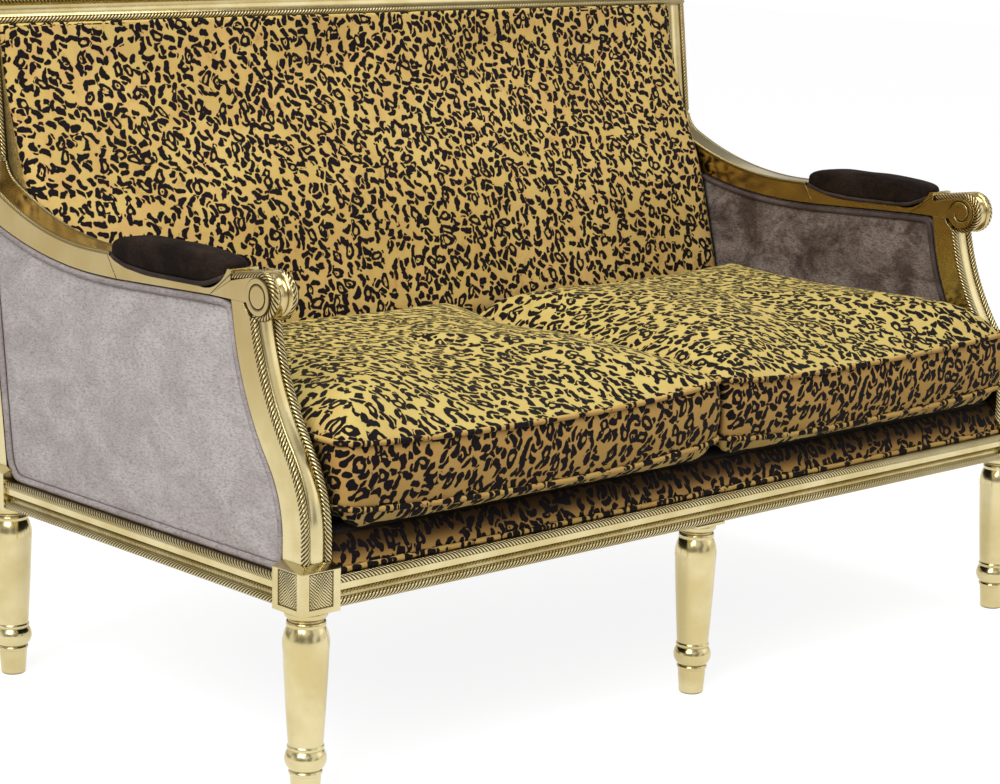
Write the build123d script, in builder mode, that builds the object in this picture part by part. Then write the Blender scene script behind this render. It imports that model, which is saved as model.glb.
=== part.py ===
from build123d import *
import math
import os

# Two-seater settee: a moulded brass-clad frame on six turned legs, with upholstered arms and back,
# two elbow pads and two loose box cushions. The front faces -Y and the floor is Z = 0.

os.makedirs("parts", exist_ok=True)

# Plan and heights of the frame
leg_pitch_x = 1400.0  # between the axes of the two front corner legs
leg_pitch_y = 680.0  # between the axes of the front and rear legs
leg_height = 249.0  # floor to the underside of the corner blocks
block_size = 60.0  # corner blocks are cubes
ledge = 16.0  # posts, arms and stiles stand this far inside the block faces
block_panel = (38.0, 46.0)  # sunk panel on each outer block face, width and height
block_panel_sink = 1.5
block_arris = 1.2
block_weather = 6.0  # the block's top slopes this much from the post foot to its outer faces

# Moulded rails
rail_height = 38.5
rail_depth = 44.0
rail_lift = 3.5  # rail underside above the block underside
rail_setback = 3.0  # rail face behind the block face
bead = 9.0  # width of the rope beads along every moulding
band = 8.5  # flat band under the upper bead
band_set = 1.8  # band face behind the bead crests
cove_set = 6.5  # deepest line of the cove behind the bead crests

# Turned legs: radius and height of each feature
foot_r = 14.5
foot_round = 3.5  # rounded edge under the foot
ankle_r = 20.0
ankle_share = 0.145
foot_ring_r = 21.8
ring_height = 6.4
foot_bead_r = 26.8
foot_bead_height = 26.6
ring_r = 23.8
shaft_r = 22.4
vase_r = 29.2
vase_share = 0.795  # height of the fullest part as a share of the leg
shoulder_r = 25.4
shoulder_share = 0.92
shoulder_ring_r = 25.4
neck_r = 22.0
neck_height = 4.0
cap_r = 27.8
centre_plate = 56.0  # square plate on the two centre legs

# Leg bolts
bolt_r = 4.0
bolt_clear = 0.2
bolt_in_leg = 28.0
bolt_in_frame = 26.0

# Swept front post: straight foot, a forward bow, then a backward sweep
post_foot = 26.0
post_bow_r = 180.0
post_sweep_r = 370.0
post_rear_bow_r = 150.0
post_rear_sweep_r = 373.0
post_lean = 37.0  # steepest lean from the vertical, degrees
reed_gap = 2.0  # groove between the post's beads and the round reed between them
reed_swell = 3.5
post_front_drop = 18.0  # the front sweep ends this far below the arm's underside, inside the scroll
post_rear_drop = 35.0  # the rear sweep ends this far below it, and runs straight on

# Arm: scroll, pad base and rear arm
scroll_back = 95.0  # scroll axis behind the front of the post foot
scroll_rise = 321.0  # scroll axis above the block top
scroll_r = 31.0
scroll_set_out = 4.0  # outer face of the scroll inside the post's outer face
scroll_set_in = 9.0  # inner face of the scroll inside the post's inner face
scroll_cove = 3.0  # depth of the hollow between the two beads of the scroll
eye_r = 14.5  # round eye on both faces of the scroll
eye_groove = 2.6  # width of the groove cut round the eye
eye_groove_depth = 1.6
arm_under = 311.0  # arm underside above the block top, at the post
arm_under_fall = 7.0  # the underside falls this much towards the rear seam
pad_lead = 56.0  # scroll axis to the front end of the pad base
pad_length = 268.0
front_seam_run = 45.0  # horizontal run of the slanting seam at each end of the pad base
rear_seam_run = 18.0
base_height = 37.0  # raised front lip of the pad base above the underside
base_lip = 7.0
base_edge = 5.0  # upright edge of that lip
scoop_floor = 10.0  # thinnest part of the pad base
scoop_fall = 1.5  # the scoop's floor falls this much to the rear
arm_step = 4.0  # the rear arm's top above the scoop's rear end
arm_rear_height = 33.0  # height of the rear arm at its seam
arm_flat = 40.0  # level stretch of the rear arm behind the seam
arm_rise_angle = 27.0  # slope of the rear arm where the knee starts, degrees
knee_r = 45.0
knee_angle = 75.0  # slope where the knee runs out against the stile, degrees
arm_under_rise = 50.0  # rise of the arm underside from the seam to the stile
arm_bead = 6.0  # finer bead along the arm's upper edges

# Back
rake = 6.8  # back stiles lean from the vertical, degrees
back_length = 657.0  # stile foot to the top of the top rail, along the rake
lower_rail_lift = 38.0
lower_rail_height = 40.0
lower_rail_depth = 23.4
back_pad_sink = 12.0  # back of the pad behind the stile fronts
back_swell = 97.0  # thickness of the pad in front of the stiles where it is fullest, at the sides
back_full_share = 0.19  # height of its fullest part as a share of the pad
back_crown = 18.0  # swell of the pad across its width, where it is fullest
back_edge_roll = 18.0  # rolled edge down both sides of the pad
back_panel_thick = 6.0

# Elbow pads
pad_over = 5.0  # the pad stands out beyond each face of the arm
pad_rise = 46.0  # top of the pad above the scoop floor
pad_crown = 10.0

# Arm upholstery
outer_panel_thick = 10.0
inner_panel_thick = 14.0

# Seat
web_thick = 2.3
web_width = 55.0
web_count = 9
web_lap_front = 10.0  # the straps are nailed this far onto the front rail
web_lap_rear = 20.0
deck_back_gap = 8.0  # deck to the stiles
deck_thick = 51.0
border_depth = 26.0
border_swell = 7.0
centre_rail_width = 45.0
centre_rail_height = 32.0
brace_reach = 75.0
brace_height = 24.0
dust_cover_thick = 1.5
dust_cover_lap = 8.0  # how far the cover laps onto the rails' undersides
dust_cover_cut = 1.0  # clearance of its cut-outs round the legs' tops

# Loose box cushions
cushion_overhang = 0.0  # cushion front beyond the front rail's face
boxing_height = 90.0  # between the two piped edges
cushion_belly = 13.0  # swell below the lower piped edge
cushion_crown = 40.0  # swell above the upper piped edge
crown_inset = 230.0  # the crown levels out this far in from the edges
cushion_bulge = 4.0  # the boxing swells this much beyond its piped edges
cushion_corner = 55.0
cushion_draw = 7.0  # the sides draw in this much between the corners

# Clearances
seat_gap = 0.3  # between curved or soft faces that sit against each other
cushion_gap = 4.0  # between the two cushions
cushion_side_gap = 9.0  # between each cushion and the arm
cushion_back_gap = 1.5  # between the cushions and the back's fullest part

half_x = leg_pitch_x / 2
half_y = leg_pitch_y / 2
block_half = block_size / 2
block_top = leg_height + block_size
inner_x = half_x - block_half
inner_y = half_y - block_half
member = block_size - ledge
outer_x = inner_x + member
rail_bottom = leg_height + rail_lift
rail_top = rail_bottom + rail_height
rail_face_x = half_x + block_half - rail_setback
rail_face_y = half_y + block_half - rail_setback
rail_inner_x = rail_face_x - rail_depth
rail_inner_y = rail_face_y - rail_depth

# Side view of the arm, as Y and Z
post_face_y = -(half_y + block_half - ledge) + bead / 2
scroll_y = post_face_y - bead / 2 + scroll_back
scroll_z = block_top + scroll_rise
under_z = block_top + arm_under
rear_under_z = under_z - arm_under_fall
base_front_y = scroll_y + pad_lead
base_rear_y = base_front_y + pad_length
seam_front = (base_front_y + front_seam_run, under_z)
seam_rear = (base_rear_y - rear_seam_run, rear_under_z)
stile_slope = math.tan(math.radians(rake))
stile_foot_y = half_y + block_half - member


def stile_front(z):
    """Y of the stiles' front face at a height."""
    return stile_foot_y + stile_slope * (z - block_top)


def heading(degrees):
    """Unit direction in the side view, measured from +Y towards +Z."""
    return (math.cos(math.radians(degrees)), math.sin(math.radians(degrees)))


# Underside of the rear arm: one arc, level at the seam, that ends on the stile
under_start = (seam_rear[0] + arm_flat, rear_under_z)
under_end_z = rear_under_z + arm_under_rise
under_run = stile_front(under_end_z) - under_start[0]
under_r = (under_run**2 + arm_under_rise**2) / (2 * arm_under_rise)
under_angle = math.degrees(math.asin(under_run / under_r))

# Upper edge of the rear arm: level, one long arc, then the knee that turns up the stile
rear_top_z = rear_under_z + arm_rear_height
top_start = (base_rear_y + arm_flat, rear_top_z)
rise = math.radians(arm_rise_angle)
knee_end = math.radians(knee_angle)
knee_run = knee_r * (math.sin(knee_end) - math.sin(rise))
knee_climb = knee_r * (math.cos(rise) - math.cos(knee_end))
long_arc_room = stile_front(rear_top_z + knee_climb) - top_start[0] - knee_run
long_arc_r = long_arc_room / (math.sin(rise) - stile_slope * (1 - math.cos(rise)))
knee_top_z = rear_top_z + long_arc_r * (1 - math.cos(rise)) + knee_climb

# The origin is under the middle of the whole depth, from the block fronts to the back of the top rail
rake_rad = math.radians(rake)
reach_front = half_y + block_half
reach_rear = stile_foot_y + back_length * math.sin(rake_rad) + member * math.cos(rake_rad)
to_origin = Location((0, (reach_front - reach_rear) / 2, 0))

# Frame of the raked back: up the rake, and out towards the front
back_up = Vector(0, math.sin(rake_rad), math.cos(rake_rad))
back_out = Vector(0, -math.cos(rake_rad), math.sin(rake_rad))
back_foot = Vector(0, stile_foot_y, block_top)
stile_length = back_length - rail_height
stile_plain = (knee_top_z - block_top) / math.cos(rake_rad)


def back_plane(out=0.0, x=0.0):
    """Plane of the stiles' fronts, moved out from them, with its Y up the rake."""
    return Plane(origin=back_foot + back_out * out + Vector(x, 0, 0), x_dir=(1, 0, 0), z_dir=back_out)


def finish(part, label):
    """Moves one piece to the settee's origin, labels it and writes it."""
    placed = part.moved(to_origin)
    placed.label = label
    export_step(placed, f"parts/{label}.step")


def moulded_bar(origin, out, along, depth, height, length, banded=True):
    """A bar with a bead at both edges of its outer face; the section's X points out."""
    seat = depth - bead / 2
    low = bead
    high = height - bead
    with BuildPart() as bar:
        with BuildSketch(Plane(origin=origin, x_dir=out, z_dir=along)):
            with BuildLine():
                Polyline((seat, height), (0, height), (0, 0), (seat, 0))
                ThreePointArc((seat, 0), (depth, bead / 2), (seat, bead))
                if banded:
                    band_x = depth - band_set
                    band_low = high - band
                    Line((seat, low), (depth - cove_set, low))
                    ThreePointArc(
                        (depth - cove_set, low),
                        (depth - cove_set + 0.8, low + 0.6 * (band_low - low)),
                        (band_x, band_low),
                    )
                    Polyline((band_x, band_low), (band_x, high), (seat, high))
                else:
                    ThreePointArc((seat, low), (depth - cove_set - 1.5, height / 2), (seat, high))
                ThreePointArc((seat, high), (depth, height - bead / 2), (seat, height))
            make_face()
        extrude(amount=length)
    return bar.part


def bolt_hole(x, y, z, depth):
    """Cylinder that clears a leg bolt, upwards from z, or downwards where depth is negative."""
    with BuildPart() as hole:
        with BuildSketch(Plane.XY.offset(z)):
            with Locations((x, y)):
                Circle(bolt_r + bolt_clear)
        extrude(amount=depth)
    return hole.part


# Front, rear and side rails between the blocks
rail_length_x = 2 * inner_x
rail_length_y = 2 * inner_y
rail_places = {
    "front_rail": ((inner_x, -rail_inner_y, rail_bottom), (0, -1, 0), (-1, 0, 0), rail_length_x),
    "rear_rail": ((-inner_x, rail_inner_y, rail_bottom), (0, 1, 0), (1, 0, 0), rail_length_x),
    "left_rail": ((-rail_inner_x, -inner_y, rail_bottom), (-1, 0, 0), (0, 1, 0), rail_length_y),
    "right_rail": ((rail_inner_x, inner_y, rail_bottom), (1, 0, 0), (0, -1, 0), rail_length_y),
}
for name, (origin, out, along, length) in rail_places.items():
    with BuildPart() as rail:
        add(moulded_bar(origin, out, along, rail_depth, rail_height, length))
        if out[1]:
            add(bolt_hole(0, out[1] * half_y, rail_bottom, bolt_in_frame), mode=Mode.SUBTRACT)
    finish(rail.part, name)


# Corner blocks with a sunk panel on both outer faces
corners = {
    "front_left": (-1, -1),
    "front_right": (1, -1),
    "rear_left": (-1, 1),
    "rear_right": (1, 1),
}
for name, (sx, sy) in corners.items():
    with BuildPart() as block:
        with BuildSketch(Plane.XY.offset(leg_height)):
            with Locations((sx * half_x, sy * half_y)):
                Rectangle(block_size, block_size)
        extrude(amount=block_size - block_weather)
        with BuildSketch(Plane.XY.offset(block_top - block_weather)):
            with Locations((sx * half_x, sy * half_y)):
                Rectangle(block_size, block_size)
        with BuildSketch(Plane.XY.offset(block_top)):
            with Locations((sx * (half_x - ledge / 2), sy * (half_y - ledge / 2))):
                Rectangle(member, member)
        loft(ruled=True)
        outer_arris = block.edges().filter_by(Axis.Z).sort_by(Axis((0, 0, 0), (sx, sy, 0)))[-1]
        chamfer(outer_arris, block_arris)
        block_mid = leg_height + block_half
        for face in (
            Plane((sx * (half_x + block_half), sy * half_y, block_mid), x_dir=(0, 1, 0), z_dir=(sx, 0, 0)),
            Plane((sx * half_x, sy * (half_y + block_half), block_mid), x_dir=(1, 0, 0), z_dir=(0, sy, 0)),
        ):
            with BuildSketch(face):
                Rectangle(*block_panel)
            extrude(amount=-block_panel_sink, mode=Mode.SUBTRACT)
        add(bolt_hole(sx * half_x, sy * half_y, leg_height, bolt_in_frame), mode=Mode.SUBTRACT)
    finish(block.part, name + "_block")


# Turned legs
leg_places = {
    "front_left": (-half_x, -half_y),
    "front_centre": (0.0, -half_y),
    "front_right": (half_x, -half_y),
    "rear_left": (-half_x, half_y),
    "rear_centre": (0.0, half_y),
    "rear_right": (half_x, half_y),
}
ankle_z = ankle_share * leg_height
foot_ring_z = ankle_z + ring_height
foot_bead_z = foot_ring_z + foot_bead_height
shaft_z = foot_bead_z + ring_height
vase_z = vase_share * leg_height
shoulder_z = shoulder_share * leg_height
neck_low = shoulder_z + ring_height
neck_z = neck_low + neck_height
for name, (x, y) in leg_places.items():
    centre = name.endswith("centre")
    leg_top = rail_bottom if centre else leg_height
    with BuildPart() as leg:
        with BuildSketch(Plane(origin=(x, y, 0), x_dir=(1, 0, 0), z_dir=(0, -1, 0))):
            with BuildLine():
                Line((0, leg_height), (0, 0))
                Line((0, 0), (foot_r, 0))
                ThreePointArc(
                    (foot_r, 0),
                    (foot_r + 0.6 * foot_round, 0.3 * foot_round),
                    (foot_r + 0.85 * foot_round, foot_round),
                )
                Line((foot_r + 0.85 * foot_round, foot_round), (ankle_r, ankle_z))
                ThreePointArc(
                    (ankle_r, ankle_z),
                    (foot_ring_r, ankle_z + ring_height / 2),
                    (ankle_r, foot_ring_z),
                )
                ThreePointArc(
                    (ankle_r, foot_ring_z),
                    (foot_bead_r, foot_ring_z + 0.55 * foot_bead_height),
                    (shaft_r, foot_bead_z),
                )
                ThreePointArc(
                    (shaft_r, foot_bead_z),
                    (ring_r, foot_bead_z + ring_height / 2),
                    (shaft_r, shaft_z),
                )
                ThreePointArc(
                    (shaft_r, shaft_z),
                    (shaft_r + 0.56 * (vase_r - shaft_r), (shaft_z + vase_z) / 2),
                    (vase_r, vase_z),
                )
                ThreePointArc(
                    (vase_r, vase_z),
                    (vase_r - 0.2 * (vase_r - shoulder_r), vase_z + 0.65 * (shoulder_z - vase_z)),
                    (shoulder_r - 1, shoulder_z),
                )
                ThreePointArc(
                    (shoulder_r - 1, shoulder_z),
                    (shoulder_ring_r, shoulder_z + ring_height / 2),
                    (shoulder_r - 1, neck_low),
                )
                ThreePointArc(
                    (shoulder_r - 1, neck_low),
                    (neck_r, neck_low + neck_height / 2),
                    (shoulder_r - 1, neck_z),
                )
                ThreePointArc(
                    (shoulder_r - 1, neck_z),
                    (cap_r, 0.45 * neck_z + 0.55 * leg_height),
                    (cap_r - 0.6, leg_height),
                )
                Line((cap_r - 0.6, leg_height), (0, leg_height))
            make_face()
        revolve(axis=Axis((x, y, 0), (0, 0, 1)))
        if centre:
            with BuildSketch(Plane.XY.offset(leg_height)):
                with Locations((x, y)):
                    Rectangle(centre_plate, centre_plate)
            extrude(amount=rail_lift)
        add(bolt_hole(x, y, leg_top, -bolt_in_leg), mode=Mode.SUBTRACT)
    finish(leg.part, name + "_leg")

# One hanger bolt up from each leg into its block or rail
with BuildPart() as leg_bolts:
    for name, (x, y) in leg_places.items():
        leg_top = rail_bottom if name.endswith("centre") else leg_height
        with BuildSketch(Plane.XY.offset(leg_top - bolt_in_leg + seat_gap)):
            with Locations((x, y)):
                Circle(bolt_r)
        extrude(amount=bolt_in_leg + bolt_in_frame - 2 * seat_gap)
finish(leg_bolts.part, "leg_bolts")


# Front post curves in the side view
lean = math.radians(post_lean)
post_base_rear = -inner_y
post_bend_z = block_top + post_foot


def top_lean(bow_r, sweep_r, top_z):
    """Lean left, in degrees, where a bow and a sweep of the given radii reach a height."""
    climb = top_z - post_bend_z - bow_r * math.sin(lean)
    return math.degrees(math.asin(math.sin(lean) - climb / sweep_r))


def sweep_end(start_y, bow_r, sweep_r, top_z):
    """Point of the side view where that bow and sweep end."""
    end_lean = math.radians(top_lean(bow_r, sweep_r, top_z))
    return (start_y + bow_r * (1 - math.cos(lean)) + sweep_r * (math.cos(end_lean) - math.cos(lean)), top_z)


post_front_z = under_z - post_front_drop
post_rear_z = under_z - post_rear_drop
front_turn = post_lean - top_lean(post_bow_r, post_sweep_r, post_front_z)
rear_turn = post_lean - top_lean(post_rear_bow_r, post_rear_sweep_r, post_rear_z)
post_bow_end = (post_face_y + post_bow_r * (1 - math.cos(lean)), post_bend_z + post_bow_r * math.sin(lean))
post_front_end = sweep_end(post_face_y, post_bow_r, post_sweep_r, post_front_z)
post_rear_end = sweep_end(post_base_rear, post_rear_bow_r, post_rear_sweep_r, post_rear_z)
rear_run_out = post_rear_drop * math.tan(math.radians(post_lean - rear_turn))
post_rear_top = (post_rear_end[0] + rear_run_out, under_z)
lean_start = heading(90)
lean_turn = heading(90 - post_lean)

for side, x_low in (("left", -outer_x), ("right", inner_x)):
    # Post: an S in side view, with a bead up both front edges and a round reed between them
    with BuildPart() as post:
        with BuildSketch(Plane.YZ.offset(x_low)):
            with BuildLine():
                Line((post_face_y, block_top), (post_face_y, post_bend_z))
                bow = JernArc((post_face_y, post_bend_z), lean_start, post_bow_r, -post_lean)
                JernArc(bow @ 1, lean_turn, post_sweep_r, front_turn)
                Polyline(post_front_end, (scroll_y, under_z), post_rear_top, post_rear_end)
                Line((post_base_rear, block_top), (post_base_rear, post_bend_z))
                rear_bow = JernArc((post_base_rear, post_bend_z), lean_start, post_rear_bow_r, -post_lean)
                JernArc(rear_bow @ 1, lean_turn, post_rear_sweep_r, rear_turn)
                Line((post_face_y, block_top), (post_base_rear, block_top))
            make_face()
        extrude(amount=member)
        reed_half = member / 2 - bead - reed_gap
        for round_x, half_width, swell in (
            (x_low + bead / 2, bead / 2, bead / 2),
            (x_low + member / 2, reed_half, reed_swell),
            (x_low + member - bead / 2, bead / 2, bead / 2),
        ):
            with BuildLine(Plane.YZ.offset(round_x)):
                Line((post_face_y, block_top), (post_face_y, post_bend_z))
                JernArc((post_face_y, post_bend_z), lean_start, post_bow_r, -post_lean)
                JernArc(post_bow_end, lean_turn, post_sweep_r, front_turn)
            with BuildSketch(Plane.XY.offset(block_top)):
                with Locations((round_x, post_face_y)):
                    Ellipse(half_width, swell)
            sweep()
        with BuildSketch(Plane.YZ.offset(x_low)):
            with Locations((scroll_y, scroll_z)):
                Circle(scroll_r + seat_gap)
        extrude(amount=member, mode=Mode.SUBTRACT)
    finish(post.part, side + "_arm_post")

    # Scroll: a turned volute with two beads and a hollow, carried back to the pad base
    bead_seat_r = scroll_r - bead / 2
    lip_z = under_z + base_height
    scroll_x = x_low + (scroll_set_out if side == "left" else scroll_set_in)
    scroll_width = member - scroll_set_out - scroll_set_in
    with BuildPart() as scroll:
        with BuildSketch(Plane(origin=(scroll_x, scroll_y, scroll_z), x_dir=(1, 0, 0), z_dir=(0, -1, 0))):
            with BuildLine():
                Polyline(
                    (0, bead_seat_r),
                    (0, eye_r + eye_groove),
                    (eye_groove_depth, eye_r + eye_groove / 2),
                    (0, eye_r),
                    (0, 0),
                    (scroll_width, 0),
                    (scroll_width, eye_r),
                    (scroll_width - eye_groove_depth, eye_r + eye_groove / 2),
                    (scroll_width, eye_r + eye_groove),
                    (scroll_width, bead_seat_r),
                )
                ThreePointArc((0, bead_seat_r), (bead / 2, scroll_r), (bead, bead_seat_r))
                ThreePointArc(
                    (bead, bead_seat_r), (scroll_width / 2, bead_seat_r - scroll_cove), (scroll_width - bead, bead_seat_r)
                )
                ThreePointArc(
                    (scroll_width - bead, bead_seat_r), (scroll_width - bead / 2, scroll_r), (scroll_width, bead_seat_r)
                )
            make_face()
        revolve(axis=Axis((0, scroll_y, scroll_z), (1, 0, 0)))
        with BuildSketch(Plane.YZ.offset(x_low)):
            Polygon(
                (scroll_y, under_z),
                seam_front,
                (base_front_y, lip_z - 1.5 * bead),
                (scroll_y, scroll_z + bead_seat_r - 1),
                align=None,
            )
        extrude(amount=member)
        bead_run = Vector(0, pad_lead - seat_gap, lip_z - bead - scroll_z - bead_seat_r)
        for bead_x in (scroll_x + bead / 2, scroll_x + scroll_width - bead / 2):
            with BuildSketch(Plane((bead_x, scroll_y, scroll_z + bead_seat_r), z_dir=bead_run)):
                Circle(bead / 2)
            extrude(amount=bead_run.length - seat_gap)
    finish(scroll.part, side + "_arm_scroll")

    # Pad base: scooped on top for the elbow pad, with a slanting seam at each end
    scoop_z = under_z - arm_under_fall / 2 + scoop_floor
    scoop_rear_z = rear_under_z + arm_rear_height - arm_step
    scoop_front_y = base_front_y + base_lip
    with BuildPart() as base:
        with BuildSketch(Plane.YZ.offset(x_low)):
            with BuildLine():
                Polyline(
                    seam_rear,
                    seam_front,
                    (base_front_y, lip_z - base_edge),
                    (base_front_y, lip_z),
                    (scoop_front_y, lip_z),
                )
                ThreePointArc(
                    (scoop_front_y, lip_z),
                    (scoop_front_y + 0.06 * pad_length, scoop_z + 0.4 * (lip_z - scoop_z)),
                    (scoop_front_y + 0.22 * pad_length, scoop_z + scoop_fall),
                )
                Line(
                    (scoop_front_y + 0.22 * pad_length, scoop_z + scoop_fall),
                    (base_rear_y - 0.4 * pad_length, scoop_z),
                )
                ThreePointArc(
                    (base_rear_y - 0.4 * pad_length, scoop_z),
                    (base_rear_y - 0.18 * pad_length, scoop_z + 0.22 * (scoop_rear_z - scoop_z)),
                    (base_rear_y, scoop_rear_z),
                )
                Line((base_rear_y, scoop_rear_z), seam_rear)
            make_face()
        extrude(amount=member)
    finish(base.part, side + "_pad_base")

    # Elbow pad: follows the scoop below, crowned along and across
    pad_top_z = scoop_z + pad_rise
    pad_mid_x = x_low + member / 2
    pad_half = member / 2 + pad_over
    with BuildPart() as elbow_pad:
        with BuildSketch(Plane.YZ.offset(pad_mid_x - pad_half)):
            with BuildLine():
                Line((scoop_front_y, lip_z + seat_gap), (scoop_front_y, pad_top_z - 0.6 * pad_crown))
                ThreePointArc(
                    (scoop_front_y, pad_top_z - 0.6 * pad_crown),
                    (scoop_front_y + 0.45 * pad_length, pad_top_z - 0.1 * pad_crown),
                    (base_rear_y, scoop_rear_z + pad_crown),
                )
                Line((base_rear_y, scoop_rear_z + pad_crown), (base_rear_y, scoop_rear_z + seat_gap))
                ThreePointArc(
                    (base_rear_y, scoop_rear_z + seat_gap),
                    (base_rear_y - 0.18 * pad_length, scoop_z + 0.22 * (scoop_rear_z - scoop_z) + seat_gap),
                    (base_rear_y - 0.4 * pad_length, scoop_z + seat_gap),
                )
                Line(
                    (base_rear_y - 0.4 * pad_length, scoop_z + seat_gap),
                    (scoop_front_y + 0.22 * pad_length, scoop_z + scoop_fall + seat_gap),
                )
                ThreePointArc(
                    (scoop_front_y + 0.22 * pad_length, scoop_z + scoop_fall + seat_gap),
                    (scoop_front_y + 0.06 * pad_length, scoop_z + 0.4 * (lip_z - scoop_z) + seat_gap),
                    (scoop_front_y, lip_z + seat_gap),
                )
            make_face()
        extrude(amount=2 * pad_half)
        with BuildSketch(Plane.XZ.offset(-base_rear_y)):
            with BuildLine():
                Polyline(
                    (pad_mid_x - pad_half, pad_top_z - pad_crown),
                    (pad_mid_x - pad_half, scoop_z),
                    (pad_mid_x + pad_half, scoop_z),
                    (pad_mid_x + pad_half, pad_top_z - pad_crown),
                )
                ThreePointArc(
                    (pad_mid_x - pad_half, pad_top_z - pad_crown),
                    (pad_mid_x, pad_top_z),
                    (pad_mid_x + pad_half, pad_top_z - pad_crown),
                )
            make_face()
        extrude(amount=pad_length, mode=Mode.INTERSECT)
    finish(elbow_pad.part, side + "_elbow_pad")

    # Rear arm: rises from the seam and turns up the front of the stile
    arm_end_z = knee_top_z + knee_r
    with BuildPart() as arm:
        with BuildSketch(Plane.YZ.offset(x_low)):
            with BuildLine():
                Line(under_start, seam_rear)
                Polyline(
                    seam_rear,
                    (base_rear_y, rear_top_z - arm_step),
                    (base_rear_y, rear_top_z),
                    top_start,
                )
                long_arc = JernArc(top_start, heading(0), long_arc_r, arm_rise_angle)
                knee = JernArc(long_arc @ 1, heading(arm_rise_angle), knee_r, knee_angle - arm_rise_angle)
                knee_tip = (
                    (knee @ 1).X + knee_r * math.cos(knee_end),
                    (knee @ 1).Y + knee_r * math.sin(knee_end),
                )
                Line(knee @ 1, knee_tip)
                under_arc = JernArc(under_start, heading(0), under_r, under_angle)
                Polyline(knee_tip, (knee_tip[0] + member, knee_tip[1]), (knee_tip[0] + member, under_end_z))
                Line((knee_tip[0] + member, under_end_z), under_arc @ 1)
            make_face()
        extrude(amount=member)
        split(bisect_by=back_plane(), keep=Keep.TOP)
    finish(arm.part, side + "_arm_rail")

    # Side panels: the opening between rail, post, arm and stile, closed on both faces
    for layer, thick, panel_x in (
        ("outer", outer_panel_thick, x_low if side == "left" else x_low + member - outer_panel_thick),
        ("inner", inner_panel_thick, x_low + member - inner_panel_thick if side == "left" else x_low),
    ):
        with BuildPart() as panel:
            with BuildSketch(Plane.YZ.offset(panel_x)):
                with BuildLine():
                    Polyline(
                        (-inner_y, block_top),
                        (-inner_y, rail_top),
                        (inner_y, rail_top),
                        (inner_y, block_top),
                        (stile_foot_y, block_top),
                        (stile_front(under_end_z), under_end_z),
                    )
                    JernArc(under_start, heading(0), under_r, under_angle)
                    Polyline(under_start, seam_rear, seam_front, post_rear_top, post_rear_end)
                    Line((post_base_rear, block_top), (post_base_rear, post_bend_z))
                    panel_bow = JernArc(
                        (post_base_rear, post_bend_z), lean_start, post_rear_bow_r, -post_lean
                    )
                    JernArc(panel_bow @ 1, lean_turn, post_rear_sweep_r, rear_turn)
                make_face()
                offset(amount=-seat_gap, kind=Kind.INTERSECTION, mode=Mode.REPLACE)
            extrude(amount=thick)
        finish(panel.part, f"{side}_{layer}_panel")

    # Back stile: plain below the arm, moulded above it
    with BuildPart() as stile:
        with BuildSketch(back_plane()):
            with Locations((x_low + member / 2, stile_plain / 2)):
                Rectangle(member, stile_plain)
        extrude(amount=-member)
        split(bisect_by=Plane.XY.offset(block_top), keep=Keep.TOP)
        moulded_foot = back_foot + back_up * stile_plain - back_out * member + Vector(x_low, 0, 0)
        add(moulded_bar(moulded_foot, back_out, back_up, member, member, stile_length - stile_plain, False))
    finish(stile.part, side + "_back_stile")

# Top rail across both stiles
with BuildPart() as top_rail:
    rail_foot = back_foot + back_up * stile_length - back_out * member + Vector(outer_x, 0, 0)
    add(moulded_bar(rail_foot, back_out, (-1, 0, 0), member, rail_height, 2 * outer_x, False))
finish(top_rail.part, "top_rail")

# Lower back rail between the stiles
with BuildPart() as lower_rail:
    with BuildSketch(back_plane(-back_pad_sink - web_thick)):
        with Locations((0, lower_rail_lift + lower_rail_height / 2)):
            Rectangle(2 * inner_x, lower_rail_height)
    extrude(amount=-lower_rail_depth)
finish(lower_rail.part, "lower_back_rail")

# Upright webbing straps between the lower rail and the top rail
strap_length = stile_length - lower_rail_lift - lower_rail_height
with BuildPart() as back_webbing:
    with BuildSketch(back_plane(-back_pad_sink)):
        with Locations((0, lower_rail_lift + lower_rail_height + strap_length / 2)):
            with GridLocations(2 * inner_x / web_count, 0, web_count, 1):
                Rectangle(web_width, strap_length)
    extrude(amount=-web_thick)
finish(back_webbing.part, "back_webbing")

# Outside back panel, from the rear rail up to the top rail
panel_drop = (block_top - rail_top) / math.cos(rake_rad) + member
with BuildPart() as outside_back:
    with BuildSketch(back_plane(back_panel_thick - member)):
        with Locations((0, (stile_length - panel_drop) / 2)):
            Rectangle(2 * inner_x - 2 * seat_gap, stile_length + panel_drop)
    extrude(amount=-back_panel_thick)
    split(bisect_by=Plane.XY.offset(rail_top + seat_gap), keep=Keep.TOP)
finish(outside_back.part, "outside_back")

# Seat platform: webbing on the rails, then the sprung deck
web_front_y = -(rail_inner_y + web_lap_front)
web_rear_y = rail_inner_y + web_lap_rear
with BuildPart() as seat_webbing:
    with BuildSketch(Plane.XY.offset(rail_top)):
        with Locations((0, (web_front_y + web_rear_y) / 2)):
            with GridLocations(2 * inner_x / web_count, 0, web_count, 1):
                Rectangle(web_width, web_rear_y - web_front_y)
    extrude(amount=web_thick)
finish(seat_webbing.part, "seat_webbing")

deck_low = rail_top + web_thick
deck_top = deck_low + deck_thick
border_rear_y = web_front_y - seat_gap
deck_rear_y = stile_foot_y - deck_back_gap
with BuildPart() as seat_deck:
    with BuildSketch(Plane.XY.offset(deck_low)):
        with Locations((0, (border_rear_y + seat_gap + deck_rear_y) / 2)):
            Rectangle(2 * inner_x - 2 * seat_gap, deck_rear_y - border_rear_y - seat_gap)
    extrude(amount=deck_thick)
finish(seat_deck.part, "seat_deck")

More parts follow.
